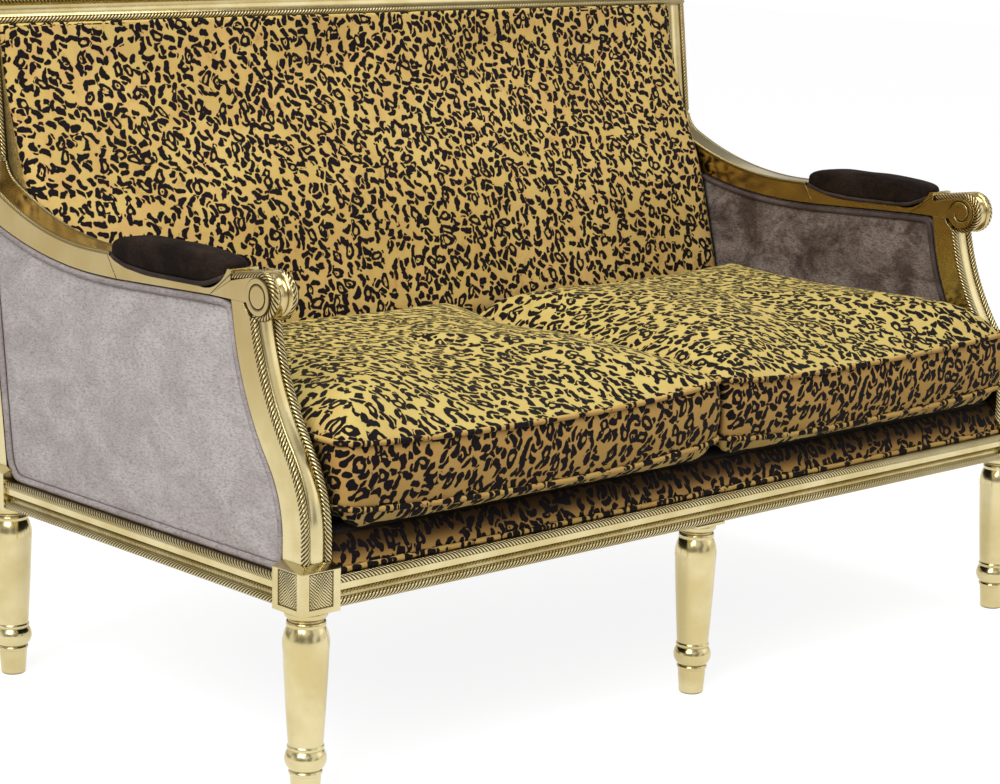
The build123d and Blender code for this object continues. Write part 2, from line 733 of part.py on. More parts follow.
# Upholstered border above the front rail, swelling forwards
border_front_y = border_rear_y - border_depth + border_swell
with BuildPart() as front_border:
    with BuildSketch(Plane.YZ.offset(-inner_x + seat_gap)):
        with BuildLine():
            Polyline(
                (border_front_y, rail_top),
                (border_rear_y, rail_top),
                (border_rear_y, deck_top),
                (border_front_y + border_swell, deck_top),
            )
            ThreePointArc(
                (border_front_y, rail_top),
                (border_front_y - border_swell, rail_top + 0.45 * (deck_top - rail_top)),
                (border_front_y + border_swell, deck_top),
            )
        make_face()
    extrude(amount=2 * inner_x - 2 * seat_gap)
finish(front_border.part, "front_border")

# Centre rail from the front rail to the rear rail
with BuildPart() as centre_rail:
    with BuildSketch(Plane.XY.offset(rail_top - web_thick - centre_rail_height)):
        Rectangle(centre_rail_width, 2 * rail_inner_y)
    extrude(amount=centre_rail_height)
finish(centre_rail.part, "seat_centre_rail")

# Corner braces inside the seat frame, notched round the blocks
with BuildPart() as corner_braces:
    with BuildSketch(Plane.XY.offset(rail_bottom + (rail_height - brace_height) / 2)):
        for sx, sy in corners.values():
            Polygon(
                (sx * (rail_inner_x - brace_reach), sy * rail_inner_y),
                (sx * (inner_x - seat_gap), sy * rail_inner_y),
                (sx * (inner_x - seat_gap), sy * (inner_y - seat_gap)),
                (sx * rail_inner_x, sy * (inner_y - seat_gap)),
                (sx * rail_inner_x, sy * (rail_inner_y - brace_reach)),
                align=None,
            )
    extrude(amount=brace_height)
finish(corner_braces.part, "corner_braces")

# Dust cover under the rails, cut back round the blocks and the centre legs
cover_x = rail_inner_x + dust_cover_lap
cover_y = rail_inner_y + dust_cover_lap
block_cut = block_size + 2 * dust_cover_cut
plate_cut = centre_plate + 2 * dust_cover_cut
with BuildPart() as dust_cover:
    with BuildSketch(Plane.XY.offset(rail_bottom - dust_cover_thick)):
        Rectangle(2 * cover_x, 2 * cover_y)
        with Locations(*[(sx * half_x, sy * half_y) for sx, sy in corners.values()]):
            Rectangle(block_cut, block_cut, mode=Mode.SUBTRACT)
        with Locations((0, -half_y), (0, half_y)):
            Rectangle(plate_cut, plate_cut, mode=Mode.SUBTRACT)
    extrude(amount=dust_cover_thick)
finish(dust_cover.part, "dust_cover")

# Sprung inside back: thick at the seat, thinning to the top rail, with a rolled edge
pad_foot = (deck_top + seat_gap - block_top) / math.cos(rake_rad)
pad_stations = [
    (0.0, 0.866),
    (back_full_share, 1.0),
    (0.5, 0.784),
    (0.68, 0.433),
    (0.86, 0.144),
    (1.0, 0.041),
]  # share of the height, and share of the full thickness
pad_half_x = inner_x - seat_gap
pad_height = stile_length - seat_gap - pad_foot
with BuildPart() as back_pad:
    for share, fullness in pad_stations:
        level = back_foot + back_up * (pad_foot + share * pad_height) - back_out * back_pad_sink
        depth = back_pad_sink + fullness * back_swell
        roll = min(back_edge_roll, 0.45 * depth)
        with BuildSketch(Plane(origin=level, x_dir=(1, 0, 0), z_dir=back_up)):
            with BuildLine():
                Polyline(
                    (-pad_half_x, -depth + roll),
                    (-pad_half_x, 0),
                    (pad_half_x, 0),
                    (pad_half_x, -depth + roll),
                )
                ThreePointArc(
                    (-pad_half_x, -depth + roll),
                    (-pad_half_x + 0.29 * roll, -depth + 0.29 * roll),
                    (-pad_half_x + roll, -depth),
                )
                ThreePointArc(
                    (-pad_half_x + roll, -depth),
                    (0, -depth - fullness * back_crown),
                    (pad_half_x - roll, -depth),
                )
                ThreePointArc(
                    (pad_half_x - roll, -depth),
                    (pad_half_x - 0.29 * roll, -depth + 0.29 * roll),
                    (pad_half_x, -depth + roll),
                )
            make_face()
    loft()
    split(bisect_by=Plane.XY.offset(deck_top + seat_gap), keep=Keep.TOP)
finish(back_pad.part, "back_pad")

# Two loose box cushions, crowned, with sides that draw in between the corners
cushion_low = deck_top + seat_gap
cushion_front_y = -rail_face_y - cushion_overhang
full_z = block_top + (pad_foot + back_full_share * pad_height) * math.cos(rake_rad)
back_front_y = stile_front(full_z) - (back_swell + back_crown) / math.cos(rake_rad)
cushion_depth = back_front_y - cushion_back_gap - cushion_front_y
cushion_mid_y = cushion_front_y + cushion_depth / 2
cushion_width = inner_x - cushion_gap / 2 - cushion_side_gap
piped_top = cushion_belly + boxing_height
cushion_stations = [
    (0.0, 7.5 * cushion_bulge),
    (0.4 * cushion_belly, 3 * cushion_bulge),
    (cushion_belly, cushion_bulge),
    (cushion_belly + boxing_height / 4, 0.25 * cushion_bulge),
    (cushion_belly + boxing_height / 2, 0.0),
    (cushion_belly + boxing_height * 3 / 4, 0.25 * cushion_bulge),
    (piped_top, cushion_bulge),
]  # height above the deck, and how far the outline is inset there
for share in (0.12, 0.26, 0.42, 0.6, 0.8, 1.0):
    inset = cushion_bulge + share * (crown_inset - cushion_bulge)
    cushion_stations.append((piped_top + cushion_crown * (1 - (1 - share) ** 2), inset))
for side, sign in (("left", -1), ("right", 1)):
    mid_x = sign * (cushion_gap / 2 + cushion_width / 2)
    with BuildPart() as cushion:
        for lift, inset in cushion_stations:
            w = cushion_width / 2 - inset
            d = cushion_depth / 2 - inset
            c = cushion_corner
            k = cushion_corner * (1 - math.sqrt(0.5))
            with BuildSketch(Plane((mid_x, cushion_mid_y, cushion_low + lift))):
                with BuildLine():
                    ThreePointArc((w, c - d), (w - cushion_draw, 0), (w, d - c))
                    ThreePointArc((w, d - c), (w - k, d - k), (w - c, d))
                    ThreePointArc((w - c, d), (0, d - cushion_draw), (c - w, d))
                    ThreePointArc((c - w, d), (k - w, d - k), (-w, d - c))
                    ThreePointArc((-w, d - c), (cushion_draw - w, 0), (-w, c - d))
                    ThreePointArc((-w, c - d), (k - w, k - d), (c - w, -d))
                    ThreePointArc((c - w, -d), (0, cushion_draw - d), (w - c, -d))
                    ThreePointArc((w - c, -d), (w - k, k - d), (w, c - d))
                make_face()
        loft(ruled=True)
    finish(cushion.part, side + "_cushion")
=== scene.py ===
import math
from functools import partial

import bpy
import numpy as np
from mathutils import Matrix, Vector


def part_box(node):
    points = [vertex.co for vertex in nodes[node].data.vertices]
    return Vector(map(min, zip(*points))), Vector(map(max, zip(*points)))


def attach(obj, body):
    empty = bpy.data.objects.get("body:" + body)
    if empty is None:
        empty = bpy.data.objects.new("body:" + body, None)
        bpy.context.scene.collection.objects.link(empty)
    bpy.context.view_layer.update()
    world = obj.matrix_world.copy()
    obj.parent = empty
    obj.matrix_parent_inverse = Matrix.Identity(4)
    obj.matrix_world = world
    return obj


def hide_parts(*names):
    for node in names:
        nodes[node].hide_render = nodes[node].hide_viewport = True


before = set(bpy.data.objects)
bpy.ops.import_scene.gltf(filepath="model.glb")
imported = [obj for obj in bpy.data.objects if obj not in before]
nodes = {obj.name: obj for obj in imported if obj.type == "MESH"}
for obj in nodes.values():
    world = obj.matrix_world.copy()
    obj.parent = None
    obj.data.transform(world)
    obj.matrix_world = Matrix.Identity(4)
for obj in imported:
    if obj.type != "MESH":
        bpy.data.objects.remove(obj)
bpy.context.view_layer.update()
print("frame loaded,", len(nodes), "nodes")

# Plan of the frame in mm, centred between the legs; front is -Y
plan = {
    "halfX": 700.0, "halfY": 340.0, "blockHalf": 30.0, "blockTop": 309.0,
    "innerX": 670.0, "innerY": 310.0, "outerX": 714.0, "member": 44.0,
    "rake": math.radians(6.8), "stileFootY": 326.0,
}
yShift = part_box("front_left_block")[0].y * 1000 + plan["halfY"] + plan["blockHalf"]
backFoot = np.array([0.0, plan["stileFootY"], plan["blockTop"]])
backUp = np.array([0.0, math.sin(plan["rake"]), math.cos(plan["rake"])])
backOut = np.array([0.0, -math.cos(plan["rake"]), math.sin(plan["rake"])])
sides = {"left": -1.0, "right": 1.0}


def stileFront(z):
    # y of the raked stile's front face
    return plan["stileFootY"] + math.tan(plan["rake"]) * (z - plan["blockTop"])


def onBack(x, u, n):
    # points of the raked back: x across, u up along it, n out from it
    return backFoot + x[..., None] * np.array([1.0, 0, 0]) + u[..., None] * backUp + n[..., None] * backOut


# Materials

def linear(hexCode):
    # sRGB hex to a scene-linear colour
    c = np.array([int(hexCode[i:i + 2], 16) for i in (1, 3, 5)]) / 255.0
    c = np.where(c <= 0.04045, c / 12.92, ((c + 0.055) / 1.055) ** 2.4)
    return (float(c[0]), float(c[1]), float(c[2]), 1.0)


def setInputs(node, inputs):
    # each input gets a number, a hex colour, a socket to link from, or a node for its first output
    for key, value in inputs.items():
        if isinstance(value, bpy.types.Node):
            value = next(socket for socket in value.outputs if socket.enabled)
        if isinstance(value, bpy.types.NodeSocket):
            node.id_data.links.new(value, node.inputs[key])
        else:
            node.inputs[key].default_value = linear(value) if isinstance(value, str) else value


def addNode(tree, kind, inputs=None, **settings):
    # one node: its properties first, then its inputs
    node = tree.nodes.new("ShaderNode" + kind)
    for key, value in settings.items():
        setattr(node, key, value)
    setInputs(node, inputs or {})
    return node


def newMaterial(name, values):
    # Principled shader with uniform values on its sockets, its own addNode, and Object coordinates in mm
    material = bpy.data.materials.new(name)
    material.use_nodes = True
    shader = material.node_tree.nodes["Principled BSDF"]
    setInputs(shader, values)
    add = partial(addNode, material.node_tree)
    place = add("TexCoord").outputs["Object"]
    mm = add("VectorMath", {0: place, "Scale": 1000.0}, operation="SCALE")
    return material, add, shader, mm


def tinted(add, place, colour, tones):
    # lays each tone over the colour in soft noise patches: its hex code, patch size in mm, the noise's detail,
    # roughness and warp, the noise levels where the tone starts and is full, and its share there
    for tone, size, detail, rough, warp, low, high, share in tones:
        patch = add("TexNoise", {"Vector": place, "Scale": 1 / size, "Detail": detail, "Roughness": rough,
                                 "Distortion": warp})
        part = add("MapRange", {0: patch, 1: low, 2: high, 4: share}, interpolation_type="SMOOTHSTEP")
        colour = add("Mix", {0: part, 6: colour, 7: tone}, data_type="RGBA")
    return colour


brassTones = (("#D8CA9B", 70, 3, 0.5, 0, 0.35, 0.65, 1.0), ("#B4965A", 6, 4, 0.7, 0, 0.58, 0.74, 0.30))


def brassMaterial(name, relief):
    # Polished brass sheet: pale gold, softly dented by hand work, brown patina in the hollows,
    # painted shade on its side faces above the seat
    material, add, shader, mm = newMaterial(name, {"Metallic": 1.0})
    colour = tinted(add, mm, "#C9B884", brassTones)
    # painted shade: side faces above the seat are darkened towards #A58A50, more the higher they stand
    height = add("SeparateXYZ", {0: mm}).outputs["Z"]
    above = add("MapRange", {0: height, 1: 430.0, 2: 590.0, 4: 0.62}, interpolation_type="SMOOTHSTEP")
    normal = add("NewGeometry").outputs["Normal"]
    sideways = add("SeparateXYZ", {0: normal}).outputs["X"]
    sideways = add("Math", {0: sideways}, operation="ABSOLUTE")
    sideways = add("MapRange", {0: sideways, 1: 0.3, 2: 0.9, 3: 0.4}, interpolation_type="SMOOTHSTEP")
    paintedSideShade = add("Math", {0: above, 1: sideways}, operation="MULTIPLY")
    colour = add("Mix", {0: paintedSideShade, 6: colour, 7: "#A58A50"}, data_type="RGBA")
    if relief:
        hollow = add("Attribute", attribute_name="groove").outputs["Fac"]
        start, full, share = 0.12, 0.52, 0.97
    else:
        hollow = add("AmbientOcclusion", {"Distance": 0.008}, samples=6).outputs["AO"]
        start, full, share = 0.72, 0.25, 0.85
    patina = add("MapRange", {0: hollow, 1: start, 2: full, 4: share}, interpolation_type="SMOOTHSTEP")
    colour = add("Mix", {0: patina, 6: colour, 7: "#3A2B14"}, data_type="RGBA")
    rubbed = add("TexNoise", {"Vector": mm, "Scale": 1 / 25, "Detail": 4, "Roughness": 0.6})
    rough = add("Math", {0: rubbed, 1: 0.15, 2: 0.10}, operation="MULTIPLY_ADD")
    worn = add("Math", {0: patina, 1: 0.25}, operation="MULTIPLY")
    rough = add("Math", {0: rough, 1: worn}, operation="ADD")
    dents = add("TexNoise", {"Vector": mm, "Scale": 1 / 30})
    beaten = add("Bump", {"Height": dents, "Distance": 0.0012, "Strength": 0.30})
    if not relief:
        setInputs(beaten, {"Normal": add("Bevel", {"Radius": 0.0012}, samples=4)})  # soft edges on the solids
    setInputs(shader, {"Base Color": colour, "Roughness": rough, "Normal": beaten})
    return material


# Sizes in mm: strokes and ovals lie one to a cell, drift bends them, bite frays their edges
printLook = {
    "drift": 9.0, "driftSize": 16.0, "bite": 4.5, "biteSize": 6.0, "extra": 0.15, "apart": 1.6, "edge": 0.45,
    "oval": {"narrow": 1.75, "radius": 9.2, "thin": 0.75, "thick": 3.3}, "bend": 0.085, "bendFrom": 20.0,
    "layers": (
        {"cell": 20.8, "move": (0.0, 0.0, 0.0), "turn": -0.45, "spread": 2.4, "radius": 4.5, "short": 3.0,
         "more": 4.3, "ovals": 0.17},
        {"cell": 21.6, "move": (511.3, 307.7, 0.0), "turn": 0.5, "spread": 2.8, "radius": 5.0, "short": 2.0,
         "more": 3.9, "ovals": 0.0}),
    "tones": (("#D3AC6A", 30, 3, 0.5, 0, 0.42, 0.64, 1.0), ("#BD9A50", 140, 2, 0.5, 0, 0.35, 0.65, 0.40),
              ("#A8743A", 48, 6, 0.72, 0.8, 0.55, 0.72, 0.55))}


def strokes(add, cloth, layer):
    # distance in mm to a short bent stroke or an open oval, one to a cell, each turned its own way
    bend, oval = printLook["bend"], printLook["oval"]
    place = add("VectorMath", {0: cloth, 1: layer["move"]}, operation="ADD")
    cells = add("TexVoronoi", {"Vector": place, "Scale": 1.0 / layer["cell"], "Randomness": 0.8},
                voronoi_dimensions="2D", feature="F1")
    pick = add("SeparateColor", {0: cells.outputs["Color"]}).outputs
    away = add("VectorMath", {0: place, 1: cells.outputs["Position"]}, operation="SUBTRACT")
    least = layer["turn"] - layer["spread"] / 2
    turn = add("Math", {0: pick[0], 1: layer["spread"], 2: least}, operation="MULTIPLY_ADD")
    turned = add("VectorRotate", {"Vector": away, "Angle": turn}, rotation_type="Z_AXIS")
    across, along = add("SeparateXYZ", {0: turned}).outputs[:2]
    # the stroke: a bent line of random length, thickened by its radius
    curve = add("Math", {0: pick[1], 1: bend, 2: -bend / 2}, operation="MULTIPLY_ADD")
    bow = add("Math", {0: along, 1: along, 2: -printLook["bendFrom"]}, operation="MULTIPLY_ADD")
    bent = add("Math", {0: curve, 1: bow, 2: across}, operation="MULTIPLY_ADD")
    half = add("Math", {0: pick[2], 1: layer["more"], 2: layer["short"]}, operation="MULTIPLY_ADD")
    reach = add("Math", {0: along}, operation="ABSOLUTE")
    past = add("Math", {0: reach, 1: half}, operation="SUBTRACT")
    past = add("Math", {0: past, 1: 0.0}, operation="MAXIMUM")
    past2 = add("Math", {0: past, 1: past}, operation="MULTIPLY")
    stroke = add("Math", {0: bent, 1: bent, 2: past2}, operation="MULTIPLY_ADD")
    stroke = add("Math", {0: stroke}, operation="SQRT")
    stroke = add("Math", {0: stroke, 1: layer["radius"]}, operation="SUBTRACT")
    if not layer["ovals"]:
        return stroke
    # the oval: a ring, narrower across, that a share of the cells get instead
    narrow = add("Math", {0: across, 1: oval["narrow"]}, operation="MULTIPLY")
    along2 = add("Math", {0: along, 1: along}, operation="MULTIPLY")
    ring = add("Math", {0: narrow, 1: narrow, 2: along2}, operation="MULTIPLY_ADD")
    ring = add("Math", {0: ring}, operation="SQRT")
    ring = add("Math", {0: ring, 1: oval["radius"]}, operation="SUBTRACT")
    ring = add("Math", {0: ring}, operation="ABSOLUTE")
    ring = add("Math", {0: ring, 1: oval["thin"], 2: -oval["thick"]}, operation="MULTIPLY_ADD")
    chance = add("Math", {0: pick[2], 1: 5.3}, operation="MULTIPLY")
    chance = add("Math", {0: pick[0], 1: 9.7, 2: chance}, operation="MULTIPLY_ADD")
    chance = add("Math", {0: chance}, operation="FRACT")
    isOval = add("Math", {0: chance, 1: layer["ovals"]}, operation="LESS_THAN")
    return add("Mix", {0: isOval, 2: stroke, 3: ring}, data_type="FLOAT")


def printVelvet(name):
    # Printed velvet: tan-gold pile with black strokes about 8 mm wide, hooks and open ovals; painted sheen
    # makes it yellower where it faces up, painted shade deeper where the cloth runs upright and darker under
    # the cushions, which "cloth" marks in its third value, and painted shade darkens it in folds
    material, add, shader, mm = newMaterial(name, {
        "Roughness": 0.8, "Specular IOR Level": 0.10, "Sheen Weight": 0.13, "Sheen Roughness": 0.35,
        "Sheen Tint": "#EDE49A"})
    look, drift = printLook, printLook["drift"]
    cut = add("Attribute", attribute_name="cloth").outputs["Vector"]
    upright = add("SeparateXYZ", {0: cut}).outputs["Z"]
    flat = add("VectorMath", {0: cut, 1: (1.0, 1.0, 0.0)}, operation="MULTIPLY")
    swirl = add("TexNoise", {"Vector": flat, "Scale": 1.0 / look["driftSize"], "Detail": 0.0}).outputs["Color"]
    swirl = add("VectorMath", {0: swirl, 1: (0.5, 0.5, 0.5)}, operation="SUBTRACT")
    warped = add("VectorMath", {0: swirl, 1: (drift, drift, 0.0), 2: flat}, operation="MULTIPLY_ADD")
    one, two = (strokes(add, warped, layer) for layer in look["layers"])
    # the second layer thins out near the first and keeps clear of it
    thinned = add("MapRange", {0: one, 1: 5.0, 2: 0.5, 4: 2.2}, interpolation_type="SMOOTHSTEP")
    two = add("Math", {0: two, 1: thinned}, operation="ADD")
    clear = add("Math", {0: look["apart"], 1: one}, operation="SUBTRACT")
    two = add("Math", {0: two, 1: clear}, operation="MAXIMUM")
    reach = add("Math", {0: one, 1: two}, operation="MINIMUM")
    bite = add("TexNoise", {"Vector": flat, "Scale": 1.0 / look["biteSize"], "Detail": 0.0})
    bite = add("Math", {0: bite, 1: look["bite"], 2: -0.5 * look["bite"]}, operation="MULTIPLY_ADD")
    reach = add("Math", {0: reach, 1: bite}, operation="ADD")
    reach = add("Math", {0: upright, 1: -look["extra"], 2: reach}, operation="MULTIPLY_ADD")
    dark = add("MapRange", {0: reach, 1: look["edge"], 2: -look["edge"]}, interpolation_type="SMOOTHSTEP")
    gold = tinted(add, mm, "#D6B86E", look["tones"])
    # painted sheen: the pile is turned yellower where it faces up
    normal = add("NewGeometry").outputs["Normal"]
    upwards = add("SeparateXYZ", {0: normal}).outputs["Z"]
    paintedSheen = add("MapRange", {0: upwards, 1: 0.3, 2: 0.95, 4: 0.55}, interpolation_type="SMOOTHSTEP")
    # painted shade: cloth marked upright in the third value is deepened towards #BF9250
    deep = add("Math", {0: upright, 1: 0.72}, operation="MULTIPLY")
    # painted shadow: the border under the cushions is darkened towards #2A1C0E
    under = add("MapRange", {0: upright, 1: 1.0, 2: 1.9, 4: 0.9}, interpolation_type="SMOOTHSTEP")
    for share, tone in ((paintedSheen, "#C6B869"), (deep, "#BF9250"), (under, "#2A1C0E")):
        gold = add("Mix", {0: share, 6: gold, 7: tone}, data_type="RGBA")
    tuft = add("TexNoise", {"Vector": mm, "Scale": 1 / 9})
    ink = add("Mix", {0: tuft, 6: "#100B10", 7: "#1A1216"}, data_type="RGBA")
    # painted shade: darker in folds and gaps that ambient occlusion finds within 60 mm
    crevice = add("AmbientOcclusion", {"Distance": 0.06}, samples=6).outputs["AO"]
    paintedFoldShade = add("MapRange", {0: crevice, 1: 0.62, 2: 0.12, 4: 0.85}, interpolation_type="SMOOTHSTEP")
    for share, tone in ((dark, ink), (paintedFoldShade, "#0C0806")):
        gold = add("Mix", {0: share, 6: gold, 7: tone}, data_type="RGBA")
    fuzz = add("TexNoise", {"Vector": mm, "Scale": 1 / 1.1, "Roughness": 0.7})
    pile = add("Math", {0: fuzz, 1: tuft}, operation="ADD")
    pile = add("Bump", {"Height": pile, "Distance": 0.0007, "Strength": 0.5})
    setInputs(shader, {"Base Color": gold, "Normal": pile})
    return material


def plainVelvet(name, values):
    # Plain velvet: brushed pile in light and dark patches, fine fuzz, pale sheen, painted shade in creases and
    # along welts
    material, add, shader, mm = newMaterial(name, {
        "Roughness": 0.85, "Specular IOR Level": 0.08, "Sheen Weight": values["sheen"], "Sheen Roughness": 0.4,
        "Sheen Tint": values["bloom"]})
    nap = add("Mapping", {"Vector": mm, "Scale": (1.0, 0.42, 0.62)})
    brushed = add("TexNoise", {"Vector": nap, "Scale": 1 / 34, "Detail": 6, "Roughness": 0.7,
                               "Distortion": 0.5})
    stroked = add("MapRange", {0: brushed, 1: 0.34, 2: 0.68}, interpolation_type="SMOOTHSTEP")
    flow = add("Mapping", {"Vector": mm, "Scale": (1.0, 0.5, 1.5)})
    fuzz = add("TexNoise", {"Vector": flow, "Scale": 1 / 3, "Detail": 4, "Roughness": 0.75})
    fleck = add("MapRange", {0: fuzz, 1: 0.25, 2: 0.60, 3: values["fleck"], 4: 0.0},
                interpolation_type="SMOOTHSTEP")
    # painted shade: darker where ambient occlusion finds a crease within 8 mm
    creaseShade = add("AmbientOcclusion", {"Distance": 0.008}, samples=6).outputs["AO"]
    creaseShade = add("MapRange", {0: creaseShade, 1: 0.72, 2: 0.28, 4: 0.92}, interpolation_type="SMOOTHSTEP")
    colour = values["deep"]
    for share, tone in ((stroked, "light"), (fleck, "shade"), (creaseShade, "creaseShade")):
        colour = add("Mix", {0: share, 6: colour, 7: values[tone]}, data_type="RGBA")
    fine = add("TexNoise", {"Vector": mm, "Scale": 1.0, "Roughness": 0.7})
    pile = add("Math", {0: fine, 1: brushed}, operation="ADD")
    pile = add("Bump", {"Height": pile, "Distance": 0.0008, "Strength": 0.5})
    setInputs(shader, {"Base Color": colour, "Normal": pile})
    return material


def weave(name, values):
    # Plain woven cloth: crossing threads at the real spacing, slightly uneven
    material, add, shader, mm = newMaterial(name, {"Roughness": 0.9, "Specular IOR Level": 0.15})
    part = add("SeparateXYZ", {0: mm}).outputs
    turns = [add("Math", {0: part[k], 1: 2 * math.pi / values["thread"]}, operation="MULTIPLY") for k in (0, 1)]
    warp, weft = (add("Math", {0: turn}, operation="SINE") for turn in turns)
    over = add("Math", {0: warp, 1: weft}, operation="MULTIPLY")
    crossed = add("MapRange", {0: over, 1: -0.8, 2: 0.8}, interpolation_type="SMOOTHSTEP")
    colour = add("Mix", {0: crossed, 6: values["deep"], 7: values["light"]}, data_type="RGBA")
    colour = tinted(add, mm, colour, ((values["deep"], 40, 4, 0.5, 0, 0.4, 0.7, 0.4),))
    threads = add("Bump", {"Height": over, "Distance": 0.0003, "Strength": 0.6})
    setInputs(shader, {"Base Color": colour, "Normal": threads})
    return material


def beechMaterial():
    # Beech: pale pinkish wood with short flecks along the grain
    material, add, shader, mm = newMaterial("beech wood", {"Roughness": 0.6})
    along = add("Mapping", {"Vector": mm, "Scale": (0.12, 1.0, 1.0)})
    grain = add("TexNoise", {"Vector": along, "Scale": 1 / 5, "Detail": 5, "Roughness": 0.65})
    share = add("MapRange", {0: grain, 1: 0.35, 2: 0.7}, interpolation_type="SMOOTHSTEP")
    colour = add("Mix", {0: share, 6: "#B98A5E", 7: "#D2AB80"}, data_type="RGBA")
    planed = add("Bump", {"Height": grain, "Distance": 0.0003, "Strength": 0.4})
    setInputs(shader, {"Base Color": colour, "Normal": planed})
    return material


def zincMaterial():
    # Zinc-plated steel: cool grey with a faint spangle
    material, add, shader, mm = newMaterial("zinc plated steel", {"Metallic": 1.0})
    spangle = add("TexNoise", {"Vector": mm, "Scale": 1 / 3})
    colour = add("Mix", {0: spangle, 6: "#8F9498", 7: "#B7BCC0"}, data_type="RGBA")
    rough = add("Math", {0: spangle, 1: 0.2, 2: 0.3}, operation="MULTIPLY_ADD")
    setInputs(shader, {"Base Color": colour, "Roughness": rough})
    return material


brass = brassMaterial("brass sheet", False)
brassRelief = brassMaterial("brass relief", True)
printedVelvet = printVelvet("printed velvet")
greyVelvet = plainVelvet("grey velvet", {
    "deep": "#BDB4B0", "light": "#D6CECB", "shade": "#857B77", "creaseShade": "#4B3F36", "fleck": 0.85,
    "bloom": "#F4F0F0", "sheen": 0.16})
greyCord = plainVelvet("grey velvet piping", {
    "deep": "#A39894", "light": "#BCB2AF", "shade": "#756B68", "creaseShade": "#463A31", "fleck": 0.85,
    "bloom": "#F4F0F0", "sheen": 0.14})
taupeVelvet = plainVelvet("taupe velvet", {
    "deep": "#51443D", "light": "#9A8C84", "shade": "#2E2423", "creaseShade": "#0C0909", "fleck": 0.95,
    "bloom": "#D5C8C2", "sheen": 0.16})
taupeCord = plainVelvet("taupe velvet piping", {
    "deep": "#463A38", "light": "#675955", "shade": "#2A2220", "creaseShade": "#080606", "fleck": 0.7,
    "bloom": "#C9BDB8", "sheen": 0.16})
brownVelvet = plainVelvet("brown velvet", {
    "deep": "#150F0B", "light": "#32261E", "shade": "#0B0705", "creaseShade": "#040302", "fleck": 0.8,
    "bloom": "#5C4838", "sheen": 0.03})
# painted sheen: the pad's brown velvet made lighter for its piping
brownCord = plainVelvet("brown velvet piping", {
    "deep": "#332925", "light": "#4C403A", "shade": "#1E1714", "creaseShade": "#080605", "fleck": 0.8,
    "bloom": "#C9BDB8", "sheen": 0.16})
deckCloth = weave("deck cloth", {"deep": "#2A2522", "light": "#3A3430", "thread": 2.0})
juteCloth = weave("jute webbing", {"deep": "#7A6038", "light": "#A98B58", "thread": 5.0})
cambricCloth = weave("black cambric", {"deep": "#121212", "light": "#242424", "thread": 1.6})
beech = beechMaterial()
zinc = zincMaterial()
print("materials made")


# Mesh helpers

def makePiece(name, points, faces, material, body, marks=None, cloth=None):
    # mesh from points in plan mm; faces turned outwards by the sign of the enclosed volume
    mesh = bpy.data.meshes.new(name)
    place = (np.asarray(points) + [0.0, yShift, 0.0]) * 0.001
    mesh.from_pydata(place.tolist(), [], faces)
    mesh.update()
    mesh.calc_loop_triangles()
    tris = np.empty(len(mesh.loop_triangles) * 3, dtype=np.int64)
    mesh.loop_triangles.foreach_get("vertices", tris)
    a, b, c = (place[tris.reshape(-1, 3)[:, k]] - place.mean(0) for k in range(3))
    if np.einsum("ij,ij->i", a, np.cross(b, c)).sum() < 0:
        mesh.flip_normals()
    mesh.polygons.foreach_set("use_smooth", np.array([len(f) < 5 for f in faces]))  # end caps stay flat
    for key, values in (marks or {}).items():
        layer = mesh.attributes.new(key, "FLOAT", "POINT")
        layer.data.foreach_set("value", np.ascontiguousarray(values, dtype=np.float32).ravel())
    if cloth is not None:
        flat = np.zeros((len(mesh.vertices), 3), dtype=np.float32)
        cloth = np.asarray(cloth)
        flat[:, :cloth.shape[-1]] = cloth.reshape(len(flat), -1)
        mesh.attributes.new("cloth", "FLOAT_VECTOR", "POINT").data.foreach_set("vector", flat.ravel())
    mesh.materials.append(material)
    piece = bpy.data.objects.new(name, mesh)
    bpy.context.collection.objects.link(piece)
    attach(piece, body)
    return piece


def gridFaces(nu, nv, wrapU, wrapV, caps):
    # quads of a grid; caps close the first and last ring along v
    i, j = np.meshgrid(np.arange(nu if wrapU else nu - 1), np.arange(nv if wrapV else nv - 1), indexing="ij")
    i2, j2 = (i + 1) % nu, (j + 1) % nv
    faces = np.stack([i * nv + j, i2 * nv + j, i2 * nv + j2, i * nv + j2], -1).reshape(-1, 4).tolist()
    if caps:
        ring = np.arange(nu) * nv
        faces += [ring[::-1].tolist(), (ring + nv - 1).tolist()]
    return faces


def gridPiece(name, grid, material, body="frame", closed=False, marks=None, cloth=None):
    # rings side by side: a closed run joins its ends, an open one is capped
    nu, nv = grid.shape[:2]
    faces = gridFaces(nu, nv, True, closed, not closed)
    return makePiece(name, grid.reshape(-1, 3), faces, material, body, marks, cloth)


def evenPath(points, step, closed=False):
    # the same path with points about step apart
    p = np.asarray(points, dtype=float)
    if closed:
        p = np.vstack([p, p[:1]])
    s = np.concatenate([[0.0], np.cumsum(np.linalg.norm(np.diff(p, axis=0), axis=1))])
    count = max(int(round(s[-1] / step)), 3)
    at = np.linspace(0.0, s[-1], count + 1)
    even = np.stack([np.interp(at, s, p[:, k]) for k in range(p.shape[1])], 1)
    return even[:-1] if closed else even


def softened(points, passes, closed=True):
    # moving average that rounds the corners of a path
    p = np.asarray(points, dtype=float)
    for _ in range(passes):
        q = 0.25 * np.roll(p, 1, 0) + 0.5 * p + 0.25 * np.roll(p, -1, 0)
        if not closed:
            q[0], q[-1] = p[0], p[-1]
        p = q
    return p


